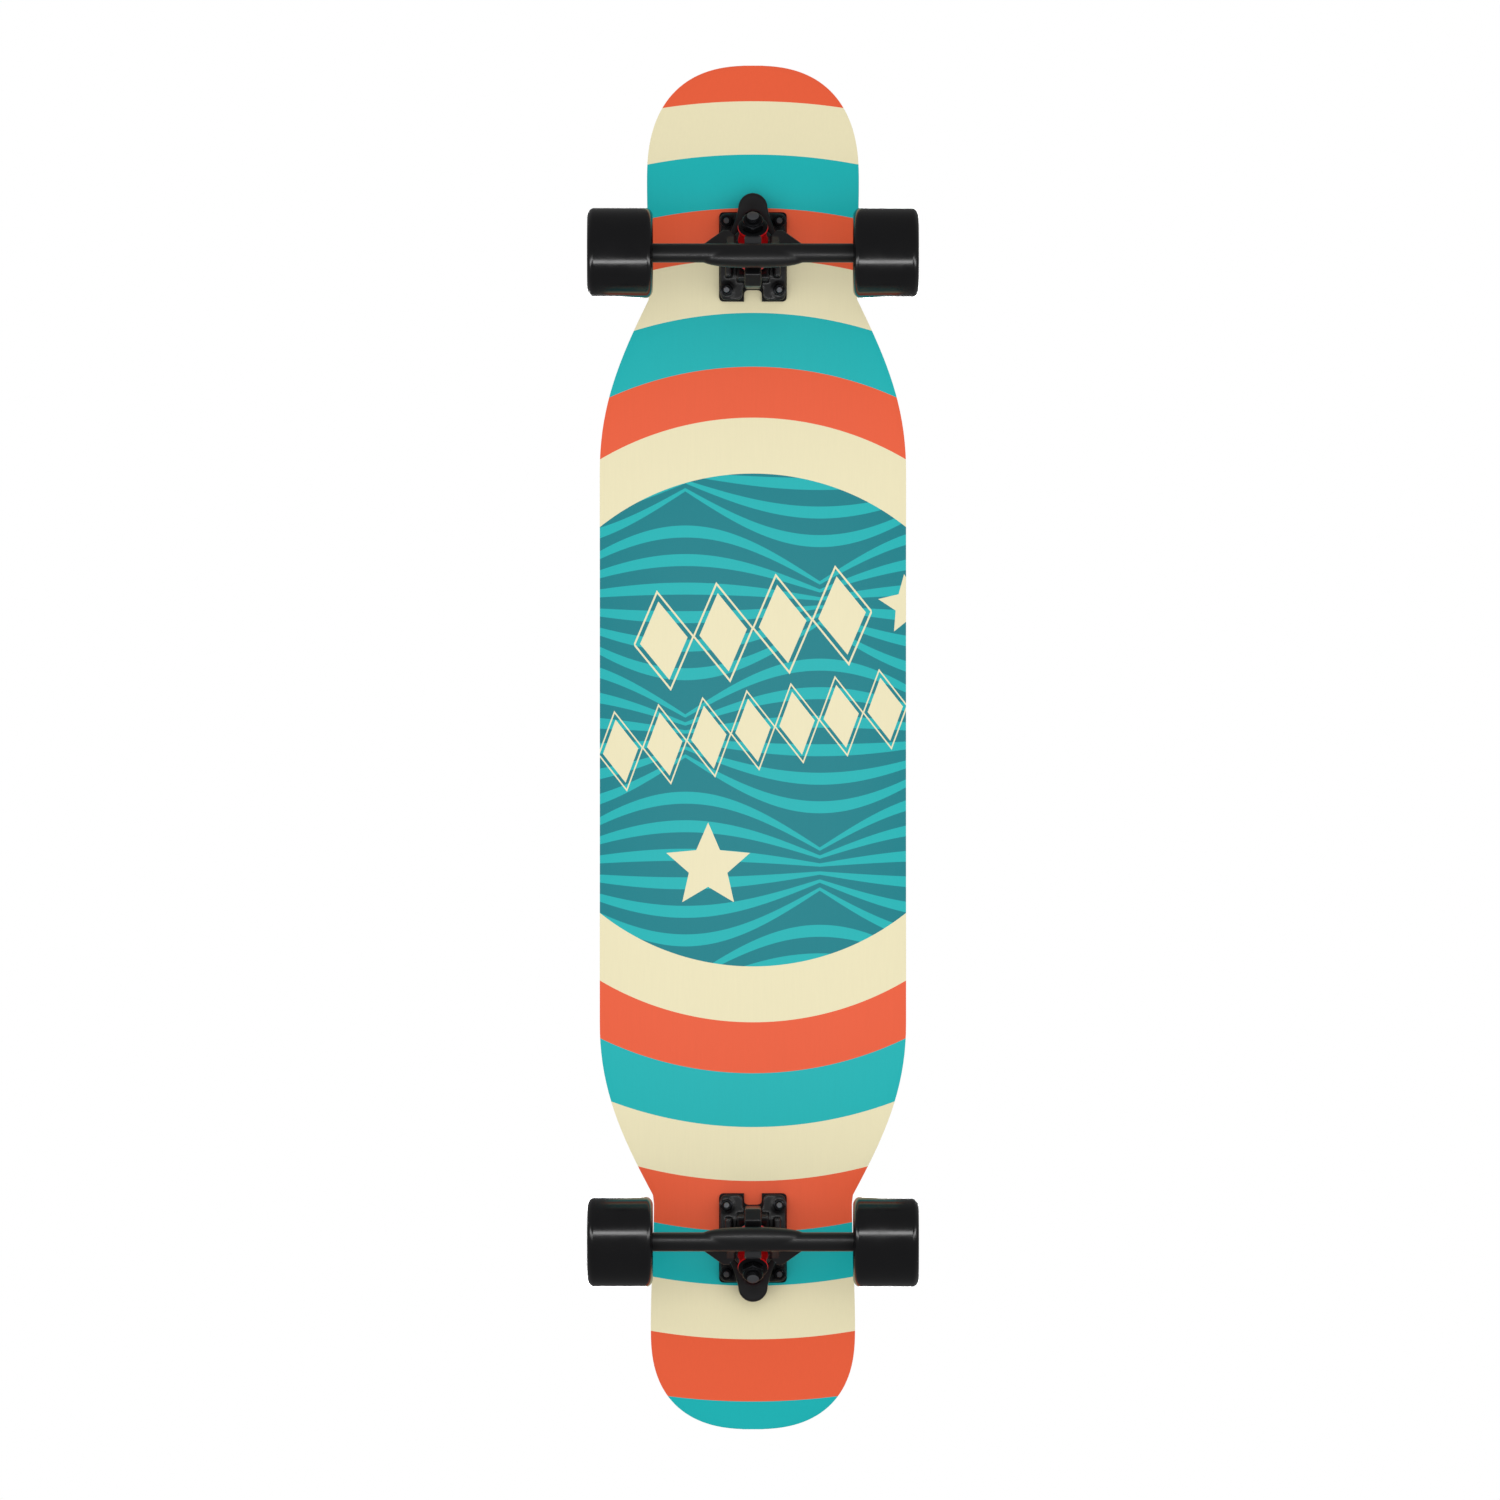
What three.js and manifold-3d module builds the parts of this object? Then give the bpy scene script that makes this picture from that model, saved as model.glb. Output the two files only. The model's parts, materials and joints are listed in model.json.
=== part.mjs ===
// A dancer longboard: a cambered maple deck with kicked ends, on two sprung reverse-kingpin trucks
// with four urethane wheels. Millimetres, +Z up, +Y towards the nose, standing on its wheels:
// the origin is on the floor, midway between the four wheels.
import * as THREE from "three";
import { mergeVertices } from "three/addons/utils/BufferGeometryUtils.js";
import Module from "manifold-3d";

const wasm = await Module();
wasm.setup();

// ---- driving dimensions ----
const GAP = 0.3; // running or resting clearance between neighbouring pieces
const SLANT = Math.PI / 4; // the steering axis rises outboard at this angle
const FAR = 60; // well past the truck, for cutters
const DECK = { length: 1070, midHalfWidth: 120, thickness: 11, camber: 8, concave: 6, flat: 0.36 };
const HALF = DECK.length / 2;
const OVERHANG = 150; // from an axle to the deck's tip
const TRUCK_Y = HALF - OVERHANG; // from the deck's centre to an axle
const ENDS = [
  { name: "rear", sign: -1, maxHalfWidth: 80, neckHalfWidth: 77.5, shoulder: HALF - 79 },
  { name: "front", sign: 1, maxHalfWidth: 83, neckHalfWidth: 81, shoulder: HALF - 92 },
];
const WAIST = { from: TRUCK_Y - 170, to: TRUCK_Y - 33, power: 1.1 }; // narrows towards a truck
const KICK = { start: TRUCK_Y + 45, rise: 28, power: 1.3, tipPower: 2.5, tipHalfWidth: 8 };
const GRIP = { thickness: 1, inset: 1.2 };
const RISER = { thickness: 3, margin: 1 };
const HANGER = { length: 180, tube: 7.5, ringHalf: 4 };
const BELLY = { radius: 9.2, half: 41, inboard: 2.5, power: 0.6 };
const RIB = { half: 5, footHalf: 4.5, foot: 2, y: 6, z: 14, end: 26 }; // from the tube up to the pivot
const YOKE = { inner: 14, outer: 20.5, back: -6.5, flange: 3.6, gussetReach: 24, gussetHalf: 42 };
const GUSSET = { thickness: 5, foot: 5, lip: 3 };
const SWING = { root: 1.8, mouth: 20.4 }; // room for the washer and nut as the hanger turns
const RING = { y: 8, z: 37 }; // centre of the hanger's ring, from the axle
const PIVOT = { radius: 3.5, mouth: 29, tip: 37, cupWall: 1, bossHalf: 6.5, bossEnd: 41 };
const PLATE = { height: 68, thickness: 6, halfWidth: 25.5, inboard: 35, outboard: 33, corner: 4 };
const NOTCH = { halfWidth: 8, depth: 9 };
const ARCH = { half: 21.5, wall: 5, depth: 14, domeHalf: 11.5, domeEnd: 48.5, straight: 9, back: -17 };
const ARCH_POWER = 1.3; // how the arched rib's sides draw in
const SEAT = { front: 4, back: -21, low: -19, lowZ: 42, margin: 0.8 }; // the wedge under the bushings
const SPINE = { back: -26.5, front: -12 }; // where the spine meets the plate
const KINGPIN = { radius: 4.75, head: 8, headDepth: 4, headAt: 30, end: 31 };
const KINGPIN_NUT = { flats: 16, height: 7 };
const BUSHING = { radius: 12, waist: 1.4, height: 13.7, play: 0.45 };
const WASHER = { radius: BUSHING.radius - 0.4, thickness: 1.6 };
const BOLTS = { acrossHalf: 20.65, alongHalf: 27, radius: 2.4, play: 0.35, head: 5, headDepth: 2.6 };
const NUT = { flats: 9.5, height: 5, past: 1.6 };
const BEARING = { outer: 11, width: 7, spacing: 10.4 };
const AXLE = { radius: 4, collar: 1.6, past: 1.5 };
const AXLE_NUT = { flats: 12.7, height: 6, ring: 6.4, ringWidth: 0.8 };
const WHEEL = { radius: 35, width: 51, lip: 5.5, shoulder: 5, segments: 24 };
const CORE = { wall: 5, step: 1.4, flange: 0.5, inset: 12.2 };

// ---- worked-out values ----
const AXLE_Z = WHEEL.radius;
const PLATE_TOP = PLATE.height;
const PLATE_LOW = PLATE.height - PLATE.thickness;
const DECK_LOW = AXLE_Z + PLATE.height + RISER.thickness + 2 * GAP;
const DECK_TOP = DECK_LOW + DECK.thickness;
const GRIP_TOP = DECK_TOP + GAP + GRIP.thickness;
const KINGPIN_BORE = KINGPIN.radius + BUSHING.play; // through the bushings and the cup washers
const RING_BORE = 2 * KINGPIN.radius; // wide, so that the hanger can lean
const RING_OUTER = BUSHING.radius + 4;
const BOLT_HOLE = BOLTS.radius + BOLTS.play;
const seatFrom = HANGER.ringHalf + GAP; // along the kingpin, from the ring's centre
const washerFrom = seatFrom + BUSHING.height + GAP;
const nutFrom = washerFrom + WASHER.thickness + GAP;
const CUP = PIVOT.radius + GAP + PIVOT.cupWall;
const COLLAR = AXLE.radius + AXLE.collar;
const BEARING_BORE = AXLE.radius + GAP;
const bearingIn = HANGER.length / 2 + 1.3;
const bearingOut = bearingIn + BEARING.spacing + BEARING.width;
const axleNutFrom = bearingOut + BEARING.width + GAP;
const AXLE_END = axleNutFrom + AXLE_NUT.ringWidth + AXLE_NUT.height + AXLE.past;
const WHEEL_X = bearingIn + CORE.inset; // from the board's centre to a wheel's middle
const CREST = WHEEL.radius - WHEEL.lip;
const CORE_OUTER = BEARING.outer + CORE.wall;

// ---- materials ----
const finish = (color, roughness, metalness = 0) =>
  new THREE.MeshStandardMaterial({ color, roughness, metalness });
const MAPLE = finish(0xd9b98a, 0.5);
const GRIT = finish(0x1b1b1d, 0.95);
const RUBBER = finish(0x161617, 0.8);
const BLACK_CASTING = finish(0x19191b, 0.45, 0.3);
const BLACK_STEEL = finish(0x232326, 0.35, 0.8);
const STEEL = finish(0xb8babd, 0.25, 1);
const RED_URETHANE = finish(0xd0202a, 0.4);
const BLACK_URETHANE = finish(0x0e0e10, 0.25);
const BLACK_NYLON = finish(0x2a2a2c, 0.5);
const RED_SHIELD = finish(0xb02024, 0.5);

// ---- solids ----
// A closed geometry as a solid, with its shared corners merged.
function solid(geometry) {
  const shape = geometry.clone();
  shape.deleteAttribute("normal");
  shape.deleteAttribute("uv");
  const merged = mergeVertices(shape, 1e-3);
  const vertProperties = merged.attributes.position.array;
  return new wasm.Manifold(
    new wasm.Mesh({ numProp: 3, vertProperties, triVerts: new Uint32Array(merged.index.array) }),
  );
}

// A solid back as a geometry with flat faces.
function geometryOf(body) {
  const { vertProperties, triVerts } = body.getMesh();
  const geometry = new THREE.BufferGeometry();
  geometry.setAttribute("position", new THREE.BufferAttribute(vertProperties, 3));
  geometry.setIndex(new THREE.BufferAttribute(triVerts, 1));
  const flat = geometry.toNonIndexed();
  flat.computeVertexNormals();
  return flat;
}

const joined = (bodies) => bodies.reduce((a, b) => a.add(b));
const cutBy = (body, cutters) => cutters.reduce((a, b) => a.subtract(b), body);

// A turned shape about Y: the profile's points are [radius, place along the axis].
function turned(profile, segments) {
  const points = profile.map(([r, h]) => new THREE.Vector2(r, h));
  return new THREE.LatheGeometry(points, segments);
}

// A ring, as a closed profile, from `low` to `high` along its axis.
const ring = (inner, outer, low, high, segments) =>
  turned([[inner, low], [outer, low], [outer, high], [inner, high], [inner, low]], segments);

// A rod from `low` to `high` along its axis.
const rod = (radius, low, high, segments) =>
  turned([[0, low], [radius, low], [radius, high], [0, high]], segments);

// Turns a shape made about Y to lie about X, with one of its corners straight down.
const alongX = (geometry) => geometry.rotateZ(-Math.PI / 2).rotateX(Math.PI);
// Turns a shape made about Y to stand along Z.
const alongZ = (geometry) => geometry.rotateX(Math.PI / 2);
// Turns a shape made about Y to lie along the kingpin, outboard and down from the ring's centre.
const alongKingpin = (geometry) => geometry.rotateX(-SLANT).translate(0, RING.y, RING.z);
// Turns a shape made about Y to lie along the steering axis, outboard and up from the ring's centre.
const alongSteering = (geometry) => geometry.rotateX(SLANT).translate(0, RING.y, RING.z);

// A hexagon, by its width over flats, between two places along Y.
const hexagon = (flats, low, high) => rod(flats / Math.sqrt(3), low, high, 6);

// A side outline of [y, z] points, given thickness from x = low to x = high.
function fromSide(points, low, high) {
  const shape = new THREE.Shape(points.map(([y, z]) => new THREE.Vector2(y, z)));
  const geometry = new THREE.ExtrudeGeometry(shape, { depth: high - low, bevelEnabled: false });
  return geometry.rotateX(Math.PI / 2).rotateZ(Math.PI / 2).translate(low, 0, 0);
}

// A plan outline, given height from z = low to z = high.
function fromPlan(shape, low, high) {
  const options = { depth: high - low, bevelEnabled: false, curveSegments: 5 };
  return new THREE.ExtrudeGeometry(shape, options).translate(0, 0, low);
}

// A place along the steering axis (outboard positive) and the kingpin (down positive), as [y, z].
function slanted(along, down) {
  const c = Math.cos(SLANT);
  return [RING.y + c * (along + down), RING.z + c * (along - down)];
}

const model = new THREE.Group();

function add(parent, name, geometry, material) {
  const mesh = new THREE.Mesh(geometry, material);
  mesh.name = name;
  parent.add(mesh);
  return mesh;
}

// ---- deck and grip tape ----
// Half the deck's width at a place along it.
function halfWidth(y) {
  const end = ENDS[y < 0 ? 0 : 1];
  const out = Math.abs(y);
  if (out <= WAIST.to) {
    const u = THREE.MathUtils.clamp((out - WAIST.from) / (WAIST.to - WAIST.from), 0, 1);
    const share = Math.cos((Math.PI / 2) * u ** WAIST.power);
    return end.neckHalfWidth + (DECK.midHalfWidth - end.neckHalfWidth) * share;
  }
  if (out <= end.shoulder) {
    const u = THREE.MathUtils.smoothstep(out, WAIST.to, end.shoulder);
    return THREE.MathUtils.lerp(end.neckHalfWidth, end.maxHalfWidth, u);
  }
  const t = Math.min((out - end.shoulder) / (HALF - end.shoulder), 1);
  const round = (1 - t ** KICK.tipPower) ** (1 / KICK.tipPower);
  return Math.max(end.maxHalfWidth * round, KICK.tipHalfWidth);
}

// How far the deck's surface stands above its flat part over the trucks. `across` runs from -1 to 1.
function lift(y, across) {
  const out = Math.abs(y);
  const bow = out < WAIST.to ? (1 + Math.cos((Math.PI * out) / WAIST.to)) / 2 : 0;
  const kick = Math.max(out - KICK.start, 0) / (HALF - KICK.start);
  const edge = Math.max(Math.abs(across) - DECK.flat, 0) / (1 - DECK.flat);
  const dish = (DECK.concave * halfWidth(y)) / DECK.midHalfWidth;
  return DECK.camber * bow + KICK.rise * kick ** KICK.power + dish * edge ** 2;
}

// The places along one half of the deck where its shape needs a section.
function stations(end) {
  const zones = [
    [0, WAIST.from, 3],
    [WAIST.from, WAIST.to, 5],
    [WAIST.to, KICK.start, 1],
    [KICK.start, end.shoulder, 1],
  ];
  const list = zones.flatMap(([from, to, steps]) =>
    Array.from({ length: steps }, (_, i) => from + ((to - from) * i) / steps),
  );
  const tipSteps = 8;
  for (let i = 0; i <= tipSteps; i++) {
    const t = Math.sin((Math.PI / 2) * (i / tipSteps) ** 0.8);
    list.push(end.shoulder + (HALF - end.shoulder) * t);
  }
  return list.map((y) => y * end.sign);
}

const SECTIONS = [...stations(ENDS[0]).slice(1).reverse(), ...stations(ENDS[1])];
const COLUMNS = [-1, -0.7, -DECK.flat, DECK.flat, 0.7, 1];

// A sheet that follows the deck, between two heights over the deck's flat part, pulled in from the edge.
function deckSheet(low, high, inset) {
  const across = COLUMNS.length - 1;
  const along = SECTIONS.length - 1;
  const box = new THREE.BoxGeometry(1, 1, 1, across, along, 1);
  const place = box.attributes.position;
  for (let i = 0; i < place.count; i++) {
    const column = COLUMNS[Math.round((place.getX(i) + 0.5) * across)];
    const section = SECTIONS[Math.round((place.getY(i) + 0.5) * along)];
    const y = section * (1 - inset / HALF);
    const z = (place.getZ(i) < 0 ? low : high) + lift(section, column);
    place.setXYZ(i, column * (halfWidth(section) - inset), y, z);
  }
  return solid(box);
}

const CORNERS = [[-1, -1], [1, -1], [-1, 1], [1, 1]];
const BOLT_PLACES = ENDS.flatMap((end) =>
  CORNERS.map(([side, out]) => ({
    name: `${end.name}_${out > 0 ? "outer" : "inner"}_${side > 0 ? "right" : "left"}`,
    x: side * BOLTS.acrossHalf,
    y: end.sign * (TRUCK_Y + out * BOLTS.alongHalf),
  })),
);

const headProfile = (radius, top, clearance) => [
  [0, top - BOLTS.headDepth - clearance],
  [BOLTS.radius + clearance, top - BOLTS.headDepth - clearance],
  [radius + clearance, top - clearance / 2],
  [radius + clearance, top + 2 * clearance],
  [0, top + 2 * clearance],
];

const boltHoles = BOLT_PLACES.flatMap(({ x, y }) => {
  const shank = rod(BOLT_HOLE, DECK_LOW - 1, GRIP_TOP + 1, 10);
  const sink = turned(headProfile(BOLTS.head, GRIP_TOP, GAP), 12);
  return [shank, sink].map((cutter) => solid(alongZ(cutter).translate(x, y, 0)));
});

const deckBody = cutBy(deckSheet(DECK_LOW, DECK_TOP, 0), boltHoles);
add(model, "deck", geometryOf(deckBody), MAPLE);
const gripBody = cutBy(deckSheet(DECK_TOP + GAP, GRIP_TOP, GRIP.inset), boltHoles);
add(model, "grip_tape", geometryOf(gripBody), GRIT);

// ---- deck hardware ----
const nutHigh = AXLE_Z + PLATE_LOW - GAP;
const nutLow = nutHigh - NUT.height;
for (const { name, x, y } of BOLT_PLACES) {
  const top = GRIP_TOP - 0.15;
  const bolt = turned(
    [
      [0, nutLow - NUT.past],
      [BOLTS.radius, nutLow - NUT.past],
      [BOLTS.radius, top - BOLTS.headDepth],
      [BOLTS.head, top - 0.2],
      [BOLTS.head, top],
      [0, top],
    ],
    10,
  );
  add(model, `deck_bolt_${name}`, alongZ(bolt), BLACK_STEEL).position.set(x, y, 0);
  const blank = solid(alongZ(hexagon(NUT.flats, nutLow, nutHigh)));
  const bore = solid(alongZ(rod(BOLTS.radius + GAP, nutLow - 1, nutHigh + 1, 10)));
  const nut = geometryOf(blank.subtract(bore));
  add(model, `deck_nut_${name}`, nut, BLACK_STEEL).position.set(x, y, 0);
}

// ---- baseplate ----
// The plate's plan, with rounded corners and the notch between its two inboard legs.
function platePlan(grow) {
  const { inboard, outboard, halfWidth: half, corner } = PLATE;
  const left = -half - grow;
  const right = half + grow;
  const back = -inboard - grow;
  const front = outboard + grow;
  const notch = NOTCH.halfWidth - grow;
  const shape = new THREE.Shape();
  shape.moveTo(left + corner, front);
  shape.quadraticCurveTo(left, front, left, front - corner);
  shape.lineTo(left, back + corner);
  shape.quadraticCurveTo(left, back, left + corner, back);
  shape.lineTo(-notch, back);
  shape.lineTo(-notch, back + NOTCH.depth - corner);
  shape.quadraticCurveTo(-notch, back + NOTCH.depth, corner - notch, back + NOTCH.depth);
  shape.lineTo(notch - corner, back + NOTCH.depth);
  shape.quadraticCurveTo(notch, back + NOTCH.depth, notch, back + NOTCH.depth - corner);
  shape.lineTo(notch, back);
  shape.lineTo(right - corner, back);
  shape.quadraticCurveTo(right, back, right, back + corner);
  shape.lineTo(right, front - corner);
  shape.quadraticCurveTo(right, front, right - corner, front);
  return shape;
}

// Half the width of the arched rib at a place along the truck, from its straight sides to its nose.
function archHalf(y, half, noseHalf, noseStart) {
  const u = THREE.MathUtils.clamp((y - ARCH.straight) / (noseStart - ARCH.straight), 0, 1);
  return noseHalf + (half - noseHalf) * (1 - u) ** ARCH_POWER;
}

// The arched rib's plan: straight sides, then curves that draw in to a round nose.
function archPlan(half, noseHalf, noseStart, noseEnd, back) {
  const steps = 5;
  const side = Array.from({ length: steps + 1 }, (_, i) => {
    const y = ARCH.straight + ((noseStart - ARCH.straight) * i) / steps;
    return new THREE.Vector2(archHalf(y, half, noseHalf, noseStart), y);
  });
  const nose = Array.from({ length: 5 }, (_, i) => {
    const a = (Math.PI * (i + 1)) / 6;
    return new THREE.Vector2(
      noseHalf * Math.cos(a),
      noseStart + (noseEnd - noseStart) * Math.sin(a),
    );
  });
  const mirrored = side.map((p) => new THREE.Vector2(-p.x, p.y)).reverse();
  const feet = [new THREE.Vector2(-half, back), new THREE.Vector2(half, back)];
  return new THREE.Shape([...feet, ...side, ...nose, ...mirrored]);
}

function baseplateBody() {
  const plate = solid(fromPlan(platePlan(0), PLATE_LOW, PLATE_TOP));
  const rise = PLATE_LOW + 1;
  const nose = ARCH.domeEnd - ARCH.domeHalf;
  const archLow = PLATE_LOW - ARCH.depth;
  const outer = archPlan(ARCH.half, ARCH.domeHalf, nose, ARCH.domeEnd, ARCH.back);
  const innerNose = ARCH.domeHalf - ARCH.wall;
  const inner = archPlan(ARCH.half - ARCH.wall, innerNose, nose - 8, nose - 3, ARCH.back - 1);
  const arch = solid(fromPlan(outer, archLow, rise)).subtract(
    solid(fromPlan(inner, archLow - 1, rise + 1)),
  );
  const domeCap = solid(fromPlan(outer, PLATE_LOW, PLATE_TOP)).subtract(
    solid(new THREE.BoxGeometry(100, 2 * PLATE.outboard, 100).translate(0, -1, PLATE_LOW)),
  );
  const seat = -(washerFrom + WASHER.thickness + GAP);
  const seatHalf = WASHER.radius + SEAT.margin;
  const top = rise;
  const wedge = solid(
    fromSide(
      [
        slanted(seatHalf, seat),
        [SEAT.front, top],
        [SEAT.back, top],
        [SEAT.low, SEAT.lowZ],
        slanted(-seatHalf, seat),
      ],
      -seatHalf,
      seatHalf,
    ),
  );
  const spine = solid(
    fromSide(
      [
        slanted(-seatHalf, seat),
        slanted(-PIVOT.mouth, -PIVOT.bossHalf),
        slanted(-PIVOT.mouth, PIVOT.bossHalf),
        slanted(-PIVOT.bossEnd, PIVOT.bossHalf),
        slanted(-PIVOT.bossEnd, -PIVOT.bossHalf),
        [SPINE.back, top],
        [SPINE.front, top],
      ],
      -PIVOT.bossHalf,
      PIVOT.bossHalf,
    ),
  );
  const cutters = [
    solid(alongSteering(rod(CUP + GAP, -PIVOT.tip - PIVOT.cupWall - 2 * GAP, 1 - PIVOT.mouth, 14))),
    solid(alongKingpin(rod(KINGPIN.radius + GAP, -FAR, 0, 14))),
    solid(alongKingpin(rod(KINGPIN.head + GAP, -FAR, -KINGPIN.headAt, 14))),
  ];
  for (const [side, out] of CORNERS) {
    const hole = alongZ(rod(BOLT_HOLE, PLATE_LOW - 1, PLATE_TOP + 1, 10));
    cutters.push(solid(hole.translate(side * BOLTS.acrossHalf, out * BOLTS.alongHalf, 0)));
  }
  return cutBy(joined([plate, arch, domeCap, wedge, spine]), cutters);
}

function riserBody() {
  const low = PLATE_TOP + GAP;
  const high = low + RISER.thickness;
  const block = solid(fromPlan(platePlan(RISER.margin), low, high));
  const holes = CORNERS.map(([side, out]) => {
    const hole = alongZ(rod(BOLT_HOLE, low - 1, high + 1, 10));
    return solid(hole.translate(side * BOLTS.acrossHalf, out * BOLTS.alongHalf, 0));
  });
  return cutBy(block, holes);
}

// ---- hanger ----
function hangerBody() {
  const half = HANGER.length / 2;
  const bar = rod(HANGER.tube, -half, half, 16);
  const steps = 6;
  const profile = Array.from({ length: steps + 1 }, (_, i) => {
    const a = (Math.PI * (i - steps / 2)) / steps;
    const round = Math.max(Math.cos(a), 0) ** BELLY.power;
    return [i % steps === 0 ? 0 : BELLY.radius * round, BELLY.half * Math.sin(a)];
  });
  const belly = alongX(turned(profile, 14)).translate(0, -BELLY.inboard, 0);
  const ribTop = -RING_BORE - 1;
  const rib = fromSide(
    [
      [-RIB.footHalf, RIB.foot],
      [RIB.footHalf, RIB.foot],
      [RIB.y, RIB.z],
      slanted(ribTop, 3),
      slanted(ribTop, -3),
      slanted(1 - RIB.end, -PIVOT.radius + 1.5),
      slanted(-RIB.end, PIVOT.radius - 0.5),
    ],
    -RIB.half,
    RIB.half,
  );
  const pieces = [alongX(bar), belly, rib].map(solid);
  for (const side of [-1, 1]) {
    const cheek = [
      [YOKE.back, 0],
      [YOKE.back, 20],
      slanted(-11, -YOKE.flange),
      slanted(3, -YOKE.flange),
      slanted(6, YOKE.flange),
      [17.5, 17],
      [6, -3],
    ];
    const from = side > 0 ? YOKE.inner : -YOKE.outer;
    pieces.push(solid(fromSide(cheek, from, from + YOKE.outer - YOKE.inner)));
    const gusset = new THREE.Shape([
      new THREE.Vector2(side * YOKE.inner, 0),
      new THREE.Vector2(side * YOKE.gussetHalf, 0),
      new THREE.Vector2(side * YOKE.gussetHalf, GUSSET.foot),
      new THREE.Vector2(side * (YOKE.outer + GUSSET.lip), YOKE.gussetReach),
      new THREE.Vector2(side * YOKE.inner, YOKE.gussetReach),
    ]);
    const plate = fromPlan(gusset, -GUSSET.thickness / 2, GUSSET.thickness / 2);
    pieces.push(solid(plate.rotateX(SLANT)));
  }
  const hoop = rod(RING_OUTER, -HANGER.ringHalf, HANGER.ringHalf, 20);
  pieces.push(solid(alongKingpin(hoop)));
  // The bushing turns with the kingpin, so the room round it widens towards the nut.
  const swing = [
    [0, HANGER.ringHalf],
    [BUSHING.radius + SWING.root, HANGER.ringHalf],
    [SWING.mouth, nutFrom],
    [SWING.mouth, FAR],
    [0, FAR],
  ];
  const yoke = cutBy(joined(pieces), [
    solid(alongKingpin(rod(RING_BORE, -2 * HANGER.ringHalf, 2 * HANGER.ringHalf, 16))),
    solid(alongKingpin(turned(swing, 20))),
    solid(alongKingpin(rod(BUSHING.radius + 1, -FAR, -HANGER.ringHalf, 16))),
    solid(alongSteering(rod(PIVOT.bossHalf * 1.55, -FAR, 0.8 - PIVOT.mouth, 16))),
    solid(alongX(rod(AXLE.radius + GAP, -half - 1, half + 1, 10))),
  ]);
  const nose = solid(
    alongSteering(
      turned(
        [
          [0, -PIVOT.tip],
          [PIVOT.radius * 0.6, -PIVOT.tip + 0.6],
          [PIVOT.radius, -PIVOT.tip + 2.4],
          [PIVOT.radius, -PIVOT.mouth + 1],
          [PIVOT.radius + 2, -RING_BORE - 4],
          [0, -RING_BORE - 1],
        ],
        14,
      ),
    ),
  );
  return yoke.add(nose);
}

// ---- one truck ----
function addTruck(end) {
  const truck = new THREE.Group();
  truck.position.set(0, end.sign * TRUCK_Y, AXLE_Z);
  truck.rotation.z = end.sign > 0 ? 0 : Math.PI;
  model.add(truck);
  const named = (piece) => `${end.name}_${piece}`;
  const sideName = (side) => (side * end.sign > 0 ? "right" : "left");

  add(truck, named("baseplate"), geometryOf(baseplateBody()), BLACK_CASTING);
  add(truck, named("riser_pad"), geometryOf(riserBody()), RUBBER);
  add(truck, named("hanger"), geometryOf(hangerBody()), BLACK_CASTING);

  const cupFloor = -PIVOT.tip - GAP;
  const cup = turned(
    [
      [0, cupFloor - PIVOT.cupWall],
      [CUP, cupFloor - PIVOT.cupWall],
      [CUP, -PIVOT.mouth],
      [PIVOT.radius + GAP, -PIVOT.mouth],
      [PIVOT.radius + GAP, cupFloor],
      [0, cupFloor],
    ],
    14,
  );
  add(truck, named("pivot_cup"), alongSteering(cup), RUBBER);

  const pin = turned(
    [
      [0, -KINGPIN.headAt - KINGPIN.headDepth],
      [KINGPIN.head, -KINGPIN.headAt - KINGPIN.headDepth],
      [KINGPIN.head, -KINGPIN.headAt - GAP],
      [KINGPIN.radius, -KINGPIN.headAt - GAP],
      [KINGPIN.radius, KINGPIN.end - 1],
      [KINGPIN.radius - 1, KINGPIN.end],
      [0, KINGPIN.end],
    ],
    14,
  );
  add(truck, named("kingpin"), alongKingpin(pin), BLACK_STEEL);
  const nutBlank = hexagon(KINGPIN_NUT.flats, nutFrom, nutFrom + KINGPIN_NUT.height);
  const nutBore = rod(KINGPIN.radius + GAP, nutFrom - 1, nutFrom + KINGPIN_NUT.height + 1, 14);
  const nutBody = solid(alongKingpin(nutBlank)).subtract(solid(alongKingpin(nutBore)));
  add(truck, named("kingpin_nut"), geometryOf(nutBody), BLACK_STEEL);

  for (const [seatName, way] of [["roadside", 1], ["boardside", -1]]) {
    const middle = seatFrom + BUSHING.height / 2;
    const bushing = [
      [KINGPIN_BORE, seatFrom],
      [BUSHING.radius, seatFrom],
      [BUSHING.radius - BUSHING.waist, middle],
      [BUSHING.radius, seatFrom + BUSHING.height],
      [KINGPIN_BORE, seatFrom + BUSHING.height],
      [KINGPIN_BORE, seatFrom],
    ];
    const placed = bushing.map(([r, h]) => [r, way * h]);
    if (way < 0) placed.reverse();
    add(truck, named(`bushing_${seatName}`), alongKingpin(turned(placed, 16)), RED_URETHANE);
    const low = way > 0 ? washerFrom : -washerFrom - WASHER.thickness;
    const washer = ring(KINGPIN_BORE, WASHER.radius, low, low + WASHER.thickness, 14);
    add(truck, named(`cup_washer_${seatName}`), alongKingpin(washer), BLACK_STEEL);
  }

  add(truck, named("axle"), alongX(axleShape()), STEEL);
  for (const side of [-1, 1]) {
    addWheel(truck, named(sideName(side)), side);
  }
}

// The axle with the inner speed rings and the bearing spacers that are clamped on it.
function axleShape() {
  const side = [
    [COLLAR, HANGER.length / 2 + GAP],
    [COLLAR, bearingIn - GAP],
    [AXLE.radius, bearingIn - GAP],
    [AXLE.radius, bearingIn + BEARING.width + GAP],
    [COLLAR, bearingIn + BEARING.width + GAP],
    [COLLAR, bearingOut - GAP],
    [AXLE.radius, bearingOut - GAP],
    [AXLE.radius, AXLE_END],
    [0, AXLE_END],
  ];
  const first = [AXLE.radius, HANGER.length / 2 + GAP];
  const right = [first, ...side];
  const left = right.map(([r, x]) => [r, -x]).reverse();
  return turned([...left, ...right], 10);
}

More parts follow.
